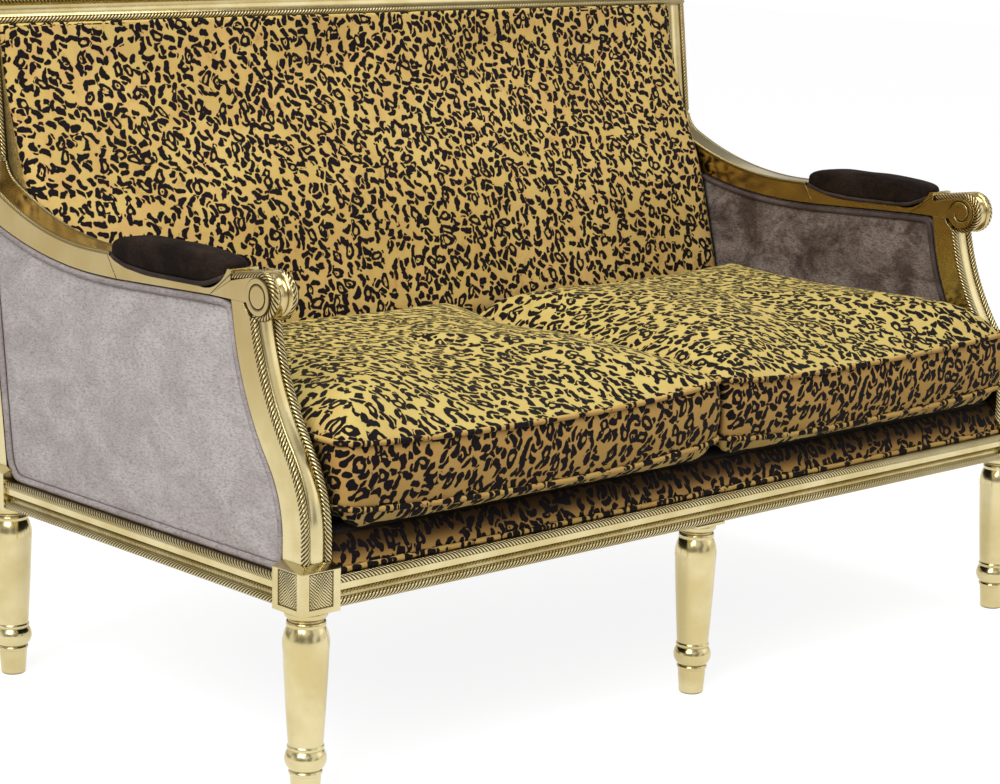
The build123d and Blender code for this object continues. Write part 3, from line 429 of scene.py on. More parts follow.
def tubeGrid(path, axis, radius, closed, twist=None):
    # ring of radius(angle, length) carried along a path that lies across axis
    p = np.asarray(path, dtype=float)
    if closed:
        t = np.roll(p, -1, 0) - np.roll(p, 1, 0)
    else:
        t = np.gradient(p, axis=0)
    t /= np.linalg.norm(t, axis=1, keepdims=True)
    side = np.cross(t, np.asarray(axis, dtype=float))
    side /= np.linalg.norm(side, axis=1, keepdims=True)
    up = np.cross(side, t)
    angle = np.linspace(0.0, 2 * math.pi, radius.shape[0], endpoint=False)[:, None]
    turn = angle + (0.0 if twist is None else twist[None, :])
    return (p[None] + (radius * np.cos(turn))[..., None] * side[None]
            + (radius * np.sin(turn))[..., None] * up[None])


ropeLook = {"bead": 4.5, "strands": 6, "lead": 35.0, "around": 36, "step": 1.4, "groove": 0.10,
            "crest": 1.20}


def ropeRun(path, axis, bead, hand=1.0):
    # twisted rope on a bead: six lobes |cos| round the ring, turned along the length
    size = bead / ropeLook["bead"]
    p = evenPath(path, ropeLook["step"] * size)
    s = np.concatenate([[0.0], np.cumsum(np.linalg.norm(np.diff(p, axis=0), axis=1))])
    angle = np.linspace(0.0, 2 * math.pi, ropeLook["around"], endpoint=False)
    lobe = np.abs(np.cos(ropeLook["strands"] * angle / 2)) ** 0.9
    r = bead + ropeLook["groove"] + (ropeLook["crest"] - ropeLook["groove"]) * size * lobe
    radius = np.repeat(r[:, None], len(p), 1)
    twist = hand * 2 * math.pi * s / (ropeLook["lead"] * size)
    grid = tubeGrid(p, axis, radius, False, twist)
    return grid, np.repeat(0.8 * (1 - lobe ** 1.6)[:, None], len(p), 1)


def ropePiece(name, runs):
    # several rope runs as one piece
    points, faces, marks, base = [], [], [], 0
    for grid, mark in runs:
        nu, nv = grid.shape[:2]
        points.append(grid.reshape(-1, 3))
        marks.append(mark.ravel())
        faces += [[k + base for k in f] for f in gridFaces(nu, nv, True, False, True)]
        base += nu * nv
    return makePiece(name, np.vstack(points), faces, brassRelief, "frame",
                     {"groove": np.concatenate(marks)})


cordLook = {"step": 4.0, "around": 12}


def pipingPiece(name, path, axis, radius, material, body="frame", closed=True, gather=0.0):
    # corded welt: round tube, with a faint lengthways unevenness
    p = evenPath(path, cordLook["step"], closed)
    s = np.arange(len(p)) * cordLook["step"]
    wave = 1 + gather * np.sin(s / 9.0 + 2.0 * np.sin(s / 61.0)) + 0.5 * gather * np.sin(s / 5.3)
    r = np.repeat((radius * wave)[None], cordLook["around"], 0)
    across = radius * np.cos(np.linspace(0.0, 2 * math.pi, cordLook["around"], endpoint=False))
    # third value 0.8: a printed welt gets painted shade as upright cloth does
    cloth = np.stack(np.broadcast_arrays(s[None, :], across[:, None] + 37.0, 0.8), -1)
    return gridPiece(name, tubeGrid(p, axis, r, closed), material, body, closed, cloth=cloth)


# Rope mouldings

railRope = {"faceY": 362.5, "faceX": 722.5, "low": 257.0, "high": 286.5}


def railRopes():
    # two straight ropes along each seat rail
    faceX, faceY, endX, endY = railRope["faceX"], railRope["faceY"], plan["innerX"], plan["innerY"]
    for name, start, end in (("front", (-endX, -faceY), (endX, -faceY)),
                             ("rear", (endX, faceY), (-endX, faceY)),
                             ("left", (-faceX, endY), (-faceX, -endY)),
                             ("right", (faceX, -endY), (faceX, endY))):
        runs = [ropeRun([(*start, z), (*end, z)], (0, 0, 1), ropeLook["bead"], hand)
                for z, hand in ((railRope["low"], 1.0), (railRope["high"], -1.0))]
        ropePiece(name + "_rail_ropes", runs)


postRope = {"foot": -349.5, "bendZ": 335.0, "bowR": 180.0, "sweepR": 370.0, "lean": math.radians(37.0),
            "last": math.radians(9.96), "nearX": 4.5, "farX": 39.5}


def postPath():
    # S curve in side view: upright, bow backwards, then sweep upright again
    t = np.linspace(0, postRope["lean"], 60)
    bow = np.stack([postRope["foot"] + postRope["bowR"] * (1 - np.cos(t)),
                    postRope["bendZ"] + postRope["bowR"] * np.sin(t)], 1)
    f = np.linspace(postRope["lean"], postRope["last"], 60)[1:]
    sweep = np.stack([bow[-1, 0] + postRope["sweepR"] * (np.cos(f) - math.cos(postRope["lean"])),
                      bow[-1, 1] + postRope["sweepR"] * (math.sin(postRope["lean"]) - np.sin(f))], 1)
    return np.vstack([[(postRope["foot"], plan["blockTop"])], bow, sweep])


scrollRope = {"centre": (-259.0, 630.0), "r": 26.5, "start": (-203.3, 648.5), "end": math.radians(300),
              "outX": 707.8, "inX": 680.8}


def scrollPath():
    # straight from the pad base, over the top and round the front of the scroll
    a = np.linspace(math.pi / 2, scrollRope["end"], 80)
    ring = np.stack([scrollRope["centre"][0] + scrollRope["r"] * np.cos(a),
                     scrollRope["centre"][1] + scrollRope["r"] * np.sin(a)], 1)
    return np.vstack([[scrollRope["start"]], ring])


armRope = {"flatY": 105.0, "startY": 67.0, "topZ": 646.0, "longR": 547.7, "rise": math.radians(27.0),
           "kneeR": 45.0, "knee": math.radians(75.0), "bead": 3.0, "sink": 2.4, "inset": 3.0}


def armTopPath():
    # rear arm's upper edge: level, long rising arc, tighter knee
    t = np.linspace(0, armRope["rise"], 50)
    rise = np.stack([armRope["flatY"] + armRope["longR"] * np.sin(t),
                     armRope["topZ"] + armRope["longR"] * (1 - np.cos(t))], 1)
    k = np.linspace(armRope["rise"], armRope["knee"], 30)[1:]
    knee = np.stack([rise[-1, 0] + armRope["kneeR"] * (np.sin(k) - math.sin(armRope["rise"])),
                     rise[-1, 1] + armRope["kneeR"] * (math.cos(armRope["rise"]) - np.cos(k))], 1)
    return np.vstack([[(armRope["startY"], armRope["topZ"])], rise, knee])


def sidePoints(x, yz):
    # path in (y, z) set at one x
    return np.column_stack([np.full(len(yz), x), yz])


def inset(path, amount):
    # path in (y, z) moved to the right of its direction
    t = np.gradient(path, axis=0)
    t /= np.linalg.norm(t, axis=1, keepdims=True)
    return path + amount * np.column_stack([t[:, 1], -t[:, 0]])


backRope = {"above": 6.0, "top": 618.0, "half": 714.0, "rails": ((623.0, 1.0), (652.5, -1.0))}


def armRopes():
    # ropes round the scrolls, up both front edges of the posts and the back, and along the rear arms
    bead, axis = ropeLook["bead"], (1, 0, 0)
    post, scroll, arm = postPath(), scrollPath(), inset(armTopPath(), armRope["sink"])
    kneeU = (arm[-1, 1] - plan["blockTop"]) / math.cos(plan["rake"])
    back = [backFoot + backUp * u - backOut * bead for u in (kneeU + backRope["above"], backRope["top"])]
    for side, sign in sides.items():
        low = -plan["outerX"] if sign < 0 else plan["innerX"]
        runs = []
        for x, hand in ((sign * scrollRope["outX"], 1.0), (sign * scrollRope["inX"], -1.0)):
            runs.append(ropeRun(sidePoints(x, scroll), axis, bead, hand))
        for x, hand in ((low + postRope["nearX"], sign), (low + postRope["farX"], -sign)):
            runs.append(ropeRun(sidePoints(x, post), axis, bead, hand))
            runs.append(ropeRun([p + [x, 0, 0] for p in back], axis, bead, hand))
        for x, hand in ((low + armRope["inset"], sign), (low + plan["member"] - armRope["inset"], -sign)):
            runs.append(ropeRun(sidePoints(x, arm), axis, armRope["bead"], hand))
        ropePiece(side + "_arm_ropes", runs)


# face and depth of each disc; the spiral's ends fade over an angle
eyeLook = {"r": 24.6, "rim": 2.0, "wall": 1.5, "ring": 15.6, "spiral": 6.5, "fade": 0.35, "cut": 1.1,
           "wide": 1.3, "outer": (716.0, 704.0), "inner": (668.0, 684.0)}


def scrollEyes():
    # turned disc x = face - cut exp(-((r - ring) / wide)^2), rounded at its rim;
    # the inner one has a spiral line
    look, flat = eyeLook, eyeLook["r"] - eyeLook["rim"]
    a = np.linspace(0, 2 * math.pi, 96, endpoint=False)[:, None]
    rolled = flat + look["rim"] * np.sin(np.linspace(0.15, math.pi / 2, 8))
    r = np.concatenate([np.linspace(0.4, flat, 60), rolled, [look["r"], look["r"]]])[None, :]
    rim = np.clip((r - flat) / look["rim"], 0, 1)
    drop = look["rim"] * (1 - np.sqrt(1 - rim ** 2))
    y = scrollRope["centre"][0] + r * np.cos(a)
    z = scrollRope["centre"][1] + r * np.sin(a)
    for side, sign in sides.items():
        for place, outward in (("outer", 1.0), ("inner", -1.0)):
            face, deep = look[place]
            ring = look["ring"] + (0.0 * a if place == "outer" else look["spiral"] * (1 - a / math.pi))
            line = np.exp(-((r - ring) / look["wide"]) ** 2)
            if place == "inner":
                line = line * np.clip(a / look["fade"], 0, 1) * np.clip((2 * math.pi - a) / look["fade"], 0, 1)
            x = face - outward * (look["cut"] * line + drop)
            x[:, -2:] = x[:, -3:-2] - outward * look["wall"]
            x[:, -1] = deep
            mark = 0.8 * np.maximum(line, rim)
            mark[:, -2:] = 0.0  # no patina on the side wall
            grid = np.stack([sign * x, y, z], -1)
            gridPiece(f"{side}_{place}_scroll_eye", grid, brassRelief, marks={"groove": mark})


def topRopes():
    # two ropes along the top rail
    runs = []
    for u, hand in backRope["rails"]:
        line = backFoot + backUp * u - backOut * ropeLook["bead"]
        ends = [line + [x, 0, 0] for x in (-backRope["half"], backRope["half"])]
        runs.append(ropeRun(ends, backUp, ropeLook["bead"], hand))
    ropePiece("top_rail_ropes", runs)


hatch = {"wide": 37.0, "high": 45.0, "pitch": 2.9, "cross": 3.3, "rise": 0.8, "step": 0.48, "base": 279.0,
         "sunk": 1.5, "deep": 1.0, "lift": 0.05, "border": 1.2}


def hatchedPlates():
    # chased plate: ridges |sin(pi a / pitch)| along one diagonal, cut by fainter ones along the other
    nu, nv = int(hatch["wide"] / hatch["step"]), int(hatch["high"] / hatch["step"])
    u, v = np.meshgrid(np.linspace(-0.5, 0.5, nu) * hatch["wide"], np.linspace(-0.5, 0.5, nv) * hatch["high"],
                       indexing="ij")
    a, b = (u + v) / math.sqrt(2), (u - v) / math.sqrt(2)
    waver = 0.5 * np.sin(b / 4.0 + 2.0 * np.sin(a / 7.0)) + 0.3 * np.sin(b / 1.9 + a / 3.0)
    ridge = np.abs(np.sin(math.pi * (a + waver) / hatch["pitch"])) ** 0.8
    faint = 0.5 + 0.5 * np.sin(u / 9.0 + 1.3) * np.sin(v / 11.0)
    h = ridge * (1 - 0.8 * faint * (1 - np.abs(np.sin(math.pi * b / hatch["cross"]))))
    rim = np.minimum(hatch["wide"] / 2 - np.abs(u), hatch["high"] / 2 - np.abs(v))
    h = h * np.clip(rim / hatch["border"], 0, 1)
    quads = gridFaces(nu, nv, False, False, False)
    rimIds = np.concatenate([np.arange(nu - 1) * nv, (nu - 1) * nv + np.arange(nv - 1),
                             (np.arange(nu - 1)[::-1] + 1) * nv + nv - 1, np.arange(nv - 1)[::-1] + 1])
    lower = nu * nv + np.arange(len(rimIds))
    skirt = np.stack([np.roll(rimIds, -1), rimIds, lower, np.roll(lower, -1)], 1)
    faces = quads + skirt.tolist() + [lower[::-1].tolist()]
    mark = np.concatenate([0.75 * (1 - h).ravel(), np.ones(len(rimIds))])
    out = np.concatenate([hatch["rise"] * h.ravel(), np.full(len(rimIds), -hatch["deep"])])
    along = np.concatenate([u.ravel(), u.ravel()[rimIds]])
    lift = np.concatenate([v.ravel(), v.ravel()[rimIds]]) + hatch["base"]
    out = out + plan["blockHalf"] - hatch["sunk"] + hatch["lift"]
    for fy, sy in (("front", -1.0), ("rear", 1.0)):
        for fx, sx in sides.items():
            endX, endY = sx * plan["halfX"] + along, sy * (plan["halfY"] + out)
            sideX, sideY = sx * (plan["halfX"] + out), sy * plan["halfY"] + along
            for face, x, y in (("end", endX, endY), ("side", sideX, sideY)):
                makePiece(f"{fy}_{fx}_{face}_hatch", np.column_stack([x, y, lift]), faces, brassRelief,
                          "frame", {"groove": mark})


seamPlate = {"low": (-160.5, 621.0), "front": (-202.4, 643.8), "head": (-202.4, 650.4), "half": 21.9}


def seamPlates():
    # brass wedge that closes the slanting joint between scroll and pad base to a thin dark line
    look = seamPlate
    for side, sign in sides.items():
        midX = sign * (plan["outerX"] + plan["innerX"]) / 2
        ends = [[(midX + dx, *look[k]) for k in ("low", "front", "head")]
                for dx in (-look["half"], look["half"])]
        faces = [[0, 1, 2], [5, 4, 3], [0, 3, 4, 1], [1, 4, 5, 2], [2, 5, 3, 0]]
        piece = makePiece(side + "_seam_plate", np.vstack(ends), faces, brass, "frame")
        piece.data.polygons.foreach_set("use_smooth", np.zeros(len(faces), dtype=bool))


rearSeam = {"path": [(68.5, 643.5), (57.1, 626.0), (47.2, 612.8)], "r": 0.9, "sunk": 0.55}


def rearSeams():
    # dark line where the pad base meets the rear arm, on both faces
    line = evenPath(rearSeam["path"], 2.0)
    radius = np.full((10, len(line)), rearSeam["r"])
    for side, sign in sides.items():
        for place, x in (("outer", plan["outerX"] - rearSeam["sunk"]),
                         ("inner", plan["innerX"] + rearSeam["sunk"])):
            grid = tubeGrid(sidePoints(sign * x, line), (1, 0, 0), radius, False)
            gridPiece(f"{side}_{place}_rear_seam", grid, brassRelief,
                      marks={"groove": np.ones(grid.shape[:2])})


railRopes()
armRopes()
rearSeams()
seamPlates()
scrollEyes()
topRopes()
hatchedPlates()
print("rope mouldings and hatched plates made")


# Inside back

# share of the height against share of the fullness; a dent is its place, height and depth
backLook = {"half": 669.7, "low": 35.9, "high": 618.2, "rear": -12.0, "swell": 97.0, "crown": 18.0,
            "roll": 20.0, "cord": 4.0, "cordOut": 2.0, "topOut": 2.5,
            "share": (0.0, 0.19, 0.5, 0.68, 0.77, 0.86, 0.93, 1.0),
            "full": (0.866, 1.0, 0.784, 0.433, 0.27, 0.144, 0.09, 0.06), "columns": 240, "rows": 120,
            "dents": ((-95, 549, 7), (224, 538, 7), (286, 462, 5), (458, 450, 5), (342, 381, 4),
                      (-300, 470, 4), (-480, 540, 5), (480, 545, 6), (0, 440, 3), (-560, 380, 3))}


def makeBack():
    # thickness follows the height, crowned across, rolled at both sides, with soft hollows pressed in
    half, roll = backLook["half"], backLook["roll"]
    u = np.linspace(backLook["low"], backLook["high"], backLook["rows"])
    share = (u - u[0]) / (u[-1] - u[0])
    full = np.interp(share, backLook["share"], backLook["full"])
    full = softened(full[:, None], 40, False)[:, 0]
    x = half * np.sin(np.linspace(-math.pi / 2, math.pi / 2, backLook["columns"]))
    over = np.clip((np.abs(x) - (half - roll)) / roll, 0, 1)
    edge = 1 - np.sqrt(1 - over ** 2)
    n = (full[None, :] * (backLook["swell"] + backLook["crown"] * (1 - (x[:, None] / half) ** 2))
         - roll * edge[:, None] * np.minimum(1, 0.25 + full[None, :]))
    for cx, cu, depth in backLook["dents"]:
        d2 = ((x[:, None] - cx) / 70) ** 2 + ((u[None, :] - cu) / 45) ** 2
        n -= depth * np.exp(-d2)
    n += 1.2 * np.sin(x[:, None] / 61 + u[None, :] / 47) * full[None, :]
    front = onBack(x[:, None], u[None, :], n)
    rearX = np.linspace(half, -half, 24)
    rear = onBack(rearX[:, None], u[None, :], np.full((24, len(u)), backLook["rear"]))
    run = np.linalg.norm(np.diff(front[len(x) // 2], axis=0), axis=1)
    climb = np.concatenate([[0.0], np.cumsum(run)])
    around = np.vstack([front, rear])
    spread = np.cumsum(np.linalg.norm(np.diff(around, axis=0, prepend=around[:1]), axis=2), 0)
    spread -= spread[len(x) // 2]
    cloth = np.stack(np.broadcast_arrays(spread, climb[None, :]), -1)
    piece = gridPiece("inside_back", around, printedVelvet, cloth=cloth)
    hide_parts("back_pad")
    # welt up one side, along the top and down the other
    cord = backLook["cord"]
    left = onBack(np.full(len(u), cord - half), u, full * backLook["swell"] * 0.06 + backLook["cordOut"])[:-2]
    right = left[::-1] * [-1.0, 1.0, 1.0]
    top = onBack(np.linspace(-half + 6, half - 6, 60), np.full(60, backLook["high"] - cord),
                 np.full(60, backLook["topOut"]))
    p = softened(evenPath(np.vstack([left, top, right]), cordLook["step"]), 3, False)
    r = np.full((cordLook["around"], len(p)), cord)
    length = np.arange(len(p)) * cordLook["step"]
    across = cord * np.cos(np.linspace(0.0, 2 * math.pi, cordLook["around"], endpoint=False))
    cloth = np.stack(np.broadcast_arrays(length[None, :], across[:, None] + 11.0), -1)
    gridPiece("back_welt", tubeGrid(p, backOut, r, False), printedVelvet, cloth=cloth)


makeBack()
print("inside back made")


# Front border and deck

borderLook = {"half": 669.7, "low": 291.2, "high": 335.5, "foot": -352.5, "head": -335.5, "rear": -333.3,
              "swell": 3.0, "shade": 0.95, "shadeFrom": 297.0, "shadeOver": 28.0, "cord": 4.0,
              "cordOut": 3.5, "cordHalf": 667.0}


def makeBorder():
    # section leans back upwards with a slight bulge; fine gathers run up from the lower welt
    look = borderLook
    x = np.linspace(-look["half"], look["half"], 420)
    v = np.linspace(0, 1, 22)
    lift = look["low"] + (look["high"] - look["low"]) * v
    lean = look["foot"] + (look["head"] - look["foot"]) * v ** 2.4
    bulge = look["swell"] * np.sin(math.pi * v ** 0.8)
    gather = 0.8 * np.sin(x / 7.0 + 3 * np.sin(x / 90.0))[:, None] * np.exp(-v / 0.25)[None, :]
    front = np.stack([np.repeat(x[:, None], 22, 1), (lean - bulge)[None, :] + gather,
                      np.repeat(lift[None], len(x), 0)], -1)
    back = np.stack([np.repeat(x[:, None], 2, 1), np.full((len(x), 2), look["rear"]),
                     np.repeat(np.array([[look["high"], look["low"]]]), len(x), 0)], -1)
    ring = np.concatenate([front, back], 1).transpose(1, 0, 2)
    under = np.clip((ring[..., 2] - look["shadeFrom"]) / look["shadeOver"], 0, 1)  # painted shadow of the cushions, darker towards the top
    piece = gridPiece("seat_border", ring, printedVelvet,
                      cloth=np.dstack([ring[..., 0], ring[..., 2], 1.0 + look["shade"] * under]))
    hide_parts("front_border")
    line = [(end, look["foot"] - look["cordOut"], look["low"] + look["cord"])
            for end in np.linspace(-look["cordHalf"], look["cordHalf"], 300)]
    pipingPiece("border_welt", line, (0, 0, 1), look["cord"], printedVelvet, closed=False,
                gather=0.10)


deckLook = {"columns": 60, "rows": 40, "edge": 12.0, "drop": 5.0}


def makeDeck():
    # sprung platform: flat top that drops (1 - t)^2 at its edges
    look = deckLook
    low, high = (np.array(p) * 1000 - [0, yShift, 0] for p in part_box("seat_deck"))
    x = np.linspace(low[0], high[0], look["columns"])
    y = np.linspace(low[1], high[1], look["rows"])
    fx = np.clip(np.minimum(x - low[0], high[0] - x) / look["edge"], 0, 1)
    fy = np.clip(np.minimum(y - low[1], high[1] - y) / look["edge"], 0, 1)
    drop = look["drop"] * (1 - np.minimum(fx[:, None], fy[None, :])) ** 2
    top = np.stack(np.broadcast_arrays(x[:, None], y[None, :], high[2] - drop), -1)
    under = top.copy()
    under[..., 2] = low[2]
    ring = np.concatenate([top, under[:, ::-1]], 1).transpose(1, 0, 2)
    piece = gridPiece("deck_pad", ring, deckCloth)
    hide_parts("seat_deck")


makeBorder()
makeDeck()
print("border and deck made")


# Side and rear panels

panelLook = {"arc": (87.0, 613.0), "arcR": 815.7, "arcAngle": math.radians(20.16), "post": (-310.0, 335.0),
             "bowR": 150.0, "sweepR": 373.0, "lean": math.radians(37.0), "sweepTop": 585.0,
             "head": ((-310.0, 291.4), (310.0, 291.4), (326.0, 309.0), (stileFront(663.0), 663.0)),
             "tail": ((47.0, 613.0), (-158.0, 620.0), (-204.0, 620.0)), "round": 14, "centre": (40.0, 455.0)}
panelLayers = {
    "outer": {"bed": 707.5, "swell": 3.0, "back": 701.0, "slot": "grey_velvet", "velvet": greyVelvet,
              "cordVelvet": greyCord, "cordX": 710.5, "away": 6.6, "cord": 5.0},
    "inner": {"bed": 673.5, "swell": -3.5, "back": 684.0, "slot": "taupe_velvet", "velvet": taupeVelvet,
              "cordVelvet": taupeCord, "cordX": 671.8, "away": 8.6, "cord": 4.7}}


def panelOutline():
    # opening between rail, stile, arm and post, run round once in (y, z): head, arc under the arm, tail, post
    look, lean = panelLook, panelLook["lean"]
    (arcY, arcZ), (postY, postZ) = look["arc"], look["post"]
    t = np.linspace(look["arcAngle"], 0, 40)[1:]
    arc = np.stack([arcY + look["arcR"] * np.sin(t), arcZ + look["arcR"] * (1 - np.cos(t))], 1)
    b = np.linspace(0, lean, 30)
    bow = np.stack([postY + look["bowR"] * (1 - np.cos(b)), postZ + look["bowR"] * np.sin(b)], 1)
    f = np.linspace(lean, 0.0, 60)[1:]
    sweep = np.stack([bow[-1, 0] + look["sweepR"] * (np.cos(f) - math.cos(lean)),
                      bow[-1, 1] + look["sweepR"] * (math.sin(lean) - np.sin(f))], 1)
    sweep = sweep[sweep[:, 1] < look["sweepTop"]]
    return np.vstack([look["head"], arc, look["tail"], np.vstack([bow, sweep])[::-1]])


def shrunk(loop, amount):
    # closed loop in (y, z) moved inwards
    t = np.roll(loop, -1, 0) - np.roll(loop, 1, 0)
    t /= np.linalg.norm(t, axis=1, keepdims=True)
    normal = np.column_stack([-t[:, 1], t[:, 0]])
    area = 0.5 * np.sum(loop[:, 0] * np.roll(loop[:, 1], -1) - np.roll(loop[:, 0], -1) * loop[:, 1])
    return loop + normal * amount * np.sign(area)


def makePanels():
    # rings from the outline to the centre: flat bed with a shallow swell, sunk behind the welt
    loop = softened(evenPath(panelOutline(), 4.0, True), panelLook["round"])
    mid = np.array(panelLook["centre"])
    t = np.concatenate([[1.0], np.linspace(0.995, 0.02, 40) ** 0.8])
    rings = mid + (shrunk(loop, 1.5)[:, None, :] - mid) * t[None, :, None]
    y, z = rings[..., 0], rings[..., 1]
    wrinkle = 0.35 * np.sin(y / 31 + z / 23) * (1 - t[None, :] ** 4)
    for side, sign in sides.items():
        for place, layer in panelLayers.items():
            rise = layer["swell"] * (1 - t ** 8)
            x = sign * (layer["bed"] + rise[None, :] + wrinkle)
            x[:, 0] = sign * layer["back"]
            piece = gridPiece(f"{side}_{place}_velvet", np.stack([x, y, z], -1), layer["velvet"])
            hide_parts(f"{side}_{place}_panel")
            run = softened(shrunk(loop, layer["away"]), 10)
            run[:, 1] -= 3.0 * np.clip((306.0 - run[:, 1]) / 6.0, 0, 1)  # down onto the rail
            run = sidePoints(sign * layer["cordX"], run)
            pipingPiece(f"{side}_{place}_welt", run, (1, 0, 0), layer["cord"], layer["cordVelvet"],
                        gather=0.03)


rearLook = {"low": 298.0, "high": 616.0, "half": 668.0, "bed": -41.0, "swell": 2.5, "tuck": 3.0, "cord": 4.6,
            "cordIn": 0.9935}


def makeRear():
    # outside back: rectangle on the raked plane, rings shrinking to its middle
    lowU = (rearLook["low"] - plan["blockTop"]) / math.cos(plan["rake"])
    box = [(-rearLook["half"], lowU), (rearLook["half"], lowU), (rearLook["half"], rearLook["high"]),
           (-rearLook["half"], rearLook["high"])]
    loop = softened(evenPath(box, 8.0, True), 3)
    mid = np.array([0.0, (lowU + rearLook["high"]) / 2])
    t = np.concatenate([[1.0], np.linspace(0.997, 0.02, 36) ** 0.8])
    rings = mid + (loop[:, None, :] - mid) * t[None, :, None]
    n = np.repeat((rearLook["bed"] - rearLook["swell"] * (1 - t ** 10))[None], len(loop), 0)
    n[:, 0] = rearLook["bed"] + rearLook["tuck"]
    grid = onBack(rings[..., 0], rings[..., 1], n)
    piece = gridPiece("outside_back_velvet", grid, greyVelvet)
    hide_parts("outside_back")
    run = mid + (loop - mid) * rearLook["cordIn"]
    line = onBack(run[:, 0], run[:, 1], np.full(len(run), rearLook["bed"]))
    pipingPiece("outside_back_welt", line, backOut, rearLook["cord"], greyVelvet, gather=0.03)


coverLook = {"halfX": 691.0, "halfY": 331.0, "level": 251.7, "sag": 5.0, "blockX": 669.0, "blockY": 309.0,
             "plateX": 29.0, "plateY": 311.0, "thick": 0.0008}


def stretches(marks, counts):
    # places from mark to mark, so many to each stretch
    return np.unique(np.concatenate([np.linspace(p, q, n) for p, q, n in zip(marks, marks[1:], counts)]))


def makeCover():
    # cambric stretched under the seat: z = level - sag (1 - a^2)(1 - b^2), cut back round the legs
    look = coverLook
    stepsX = [-look["halfX"], -look["blockX"], -look["plateX"], look["plateX"], look["blockX"], look["halfX"]]
    stepsY = [-look["halfY"], -look["plateY"], -look["blockY"], look["blockY"], look["plateY"], look["halfY"]]
    x = stretches(stepsX, (3, 24, 3, 24, 3))
    y = stretches(stepsY, (3, 2, 24, 2, 3))
    gx, gy = np.meshgrid(x, y, indexing="ij")
    z = look["level"] - look["sag"] * (1 - (gx / look["halfX"]) ** 2) * (1 - (gy / look["halfY"]) ** 2)
    quads = np.array(gridFaces(len(x), len(y), False, False, False))
    midX, midY = np.abs(gx.ravel()[quads].mean(1)), np.abs(gy.ravel()[quads].mean(1))
    atCorner = (midX > look["blockX"]) & (midY > look["blockY"])
    atMiddle = (midX < look["plateX"]) & (midY > look["plateY"])
    quads = quads[~(atCorner | atMiddle)]
    used, faces = np.unique(quads, return_inverse=True)
    points = np.column_stack([gx.ravel(), gy.ravel(), z.ravel()])[used]
    faces = faces.reshape(-1, 4)[:, ::-1].tolist()
    piece = makePiece("cambric_cover", points, faces, cambricCloth, "frame")
    wall = piece.modifiers.new("thickness", "SOLIDIFY")
    wall.thickness = look["thick"]
    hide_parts("dust_cover")


makePanels()
makeRear()
makeCover()
print("panels made")


# Elbow pads

padLook = {"front": -187.0, "rear": 64.0, "half": 27.0,
           "scoopY": (-200.0, -190.0, -180.0, -160.0, -138.6, -39.0, 18.0, 65.0, 90.0),
           "scoopZ": (657.0, 648.0, 638.7, 631.0, 628.0, 626.5, 629.9, 642.0, 646.5),
           "topY": (-200.0, -185.0, -150.0, -78.0, 0.0, 40.0, 65.0),
           "topZ": (664.0, 667.0, 671.0, 674.0, 673.0, 669.0, 663.0),
           "square": 14.0, "cord": 3.0, "cordIn": 0.5, "cordUp": 2.9}


def makePads():
    # bolster along y: plan a superellipse with square ends, section full at the sides and crowned on top
    look = padLook
    mid, reach = (look["front"] + look["rear"]) / 2, (look["rear"] - look["front"]) / 2
    s = np.sin(np.linspace(-1.0, 1.0, 110) * math.pi / 2) * 0.9985
    y = mid + reach * s
    plump = (1 - np.abs(s) ** look["square"]) ** (1 / 3.0)
    low = softened(np.interp(y, look["scoopY"], look["scoopZ"])[:, None], 5, False)[:, 0] + 0.8
    top = softened(np.interp(y, look["topY"], look["topZ"])[:, None], 14, False)[:, 0]
    angle = np.linspace(0, 2 * math.pi, 64, endpoint=False)
    ca, sa = np.cos(angle), np.sin(angle)
    sx = np.sign(ca) * np.abs(ca) ** 0.45
    sz = np.where(sa > 0, np.abs(sa) ** 0.75, -np.abs(sa) ** 0.45)
    high = (top - low) * (0.45 + 0.55 * plump)
    for side, sign in sides.items():
        midX = sign * (plan["outerX"] + plan["innerX"]) / 2
        x = midX + look["half"] * plump[None, :] * sx[:, None]
        z = low[None, :] + high[None, :] * (0.5 + 0.5 * sz[:, None])
        z = z + 0.5 * np.sin(y[None, :] / 17.0 + x / 11.0) * (sz[:, None] > 0)
        grid = np.stack([x, np.repeat(y[None], 64, 0), z], -1)
        piece = gridPiece(side + "_elbow_velvet", grid, brownVelvet)
        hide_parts(side + "_elbow_pad")
        keep = np.abs(s) < 0.994
        reachX = (look["half"] - look["cordIn"]) * plump
        one, two = (np.column_stack([midX + way * reachX, y, low + look["cordUp"]])[keep] for way in (1, -1))
        loop = softened(evenPath(np.vstack([one, two[::-1]]), 3.0, True), 3)
        pipingPiece(side + "_elbow_welt", loop, (0, 0, 1), look["cord"], brownCord,
                    gather=0.03)


makePads()
print("elbow pads made")


# Seat cushions

cushionLook = {
    "low": 344.8, "droop": 8.0, "lowSeam": 359.0, "highSeam": 445.0, "rear": 226.0, "wall": 9, "cell": 9.0,
    "square": 32.0, "bulge": 7.0, "draw": 5.0, "lowLift": 12.0, "highLift": 9.0, "cord": 4.0, "slide": 26.0,
    "cordOut": 1.6, "give": 1.5, "hangFrom": -338.0, "hangOver": 10.0, "ease": 1.25, "fall": (2.5, 5.5, 16.0),
    "left": {"minX": -658.0, "maxX": 23.0, "front": -369.0, "up": 0.0, "phase": 0.0, "shared": 1.0,
             "bow": 8.0, "crown": 53.0, "ear": 0.0},
    "right": {"minX": 27.0, "maxX": 668.5, "front": -362.0, "up": -1.0, "phase": 2.1, "shared": -1.0,
              "bow": 3.0, "crown": 52.5, "ear": 6.0}}


def restLevel(y):
    # lowest the cushion may go: the deck, or a little lower where it hangs in front of the border
    look = cushionLook
    return look["low"] - look["droop"] * np.clip((look["hangFrom"] - y) / look["hangOver"], 0, 1)


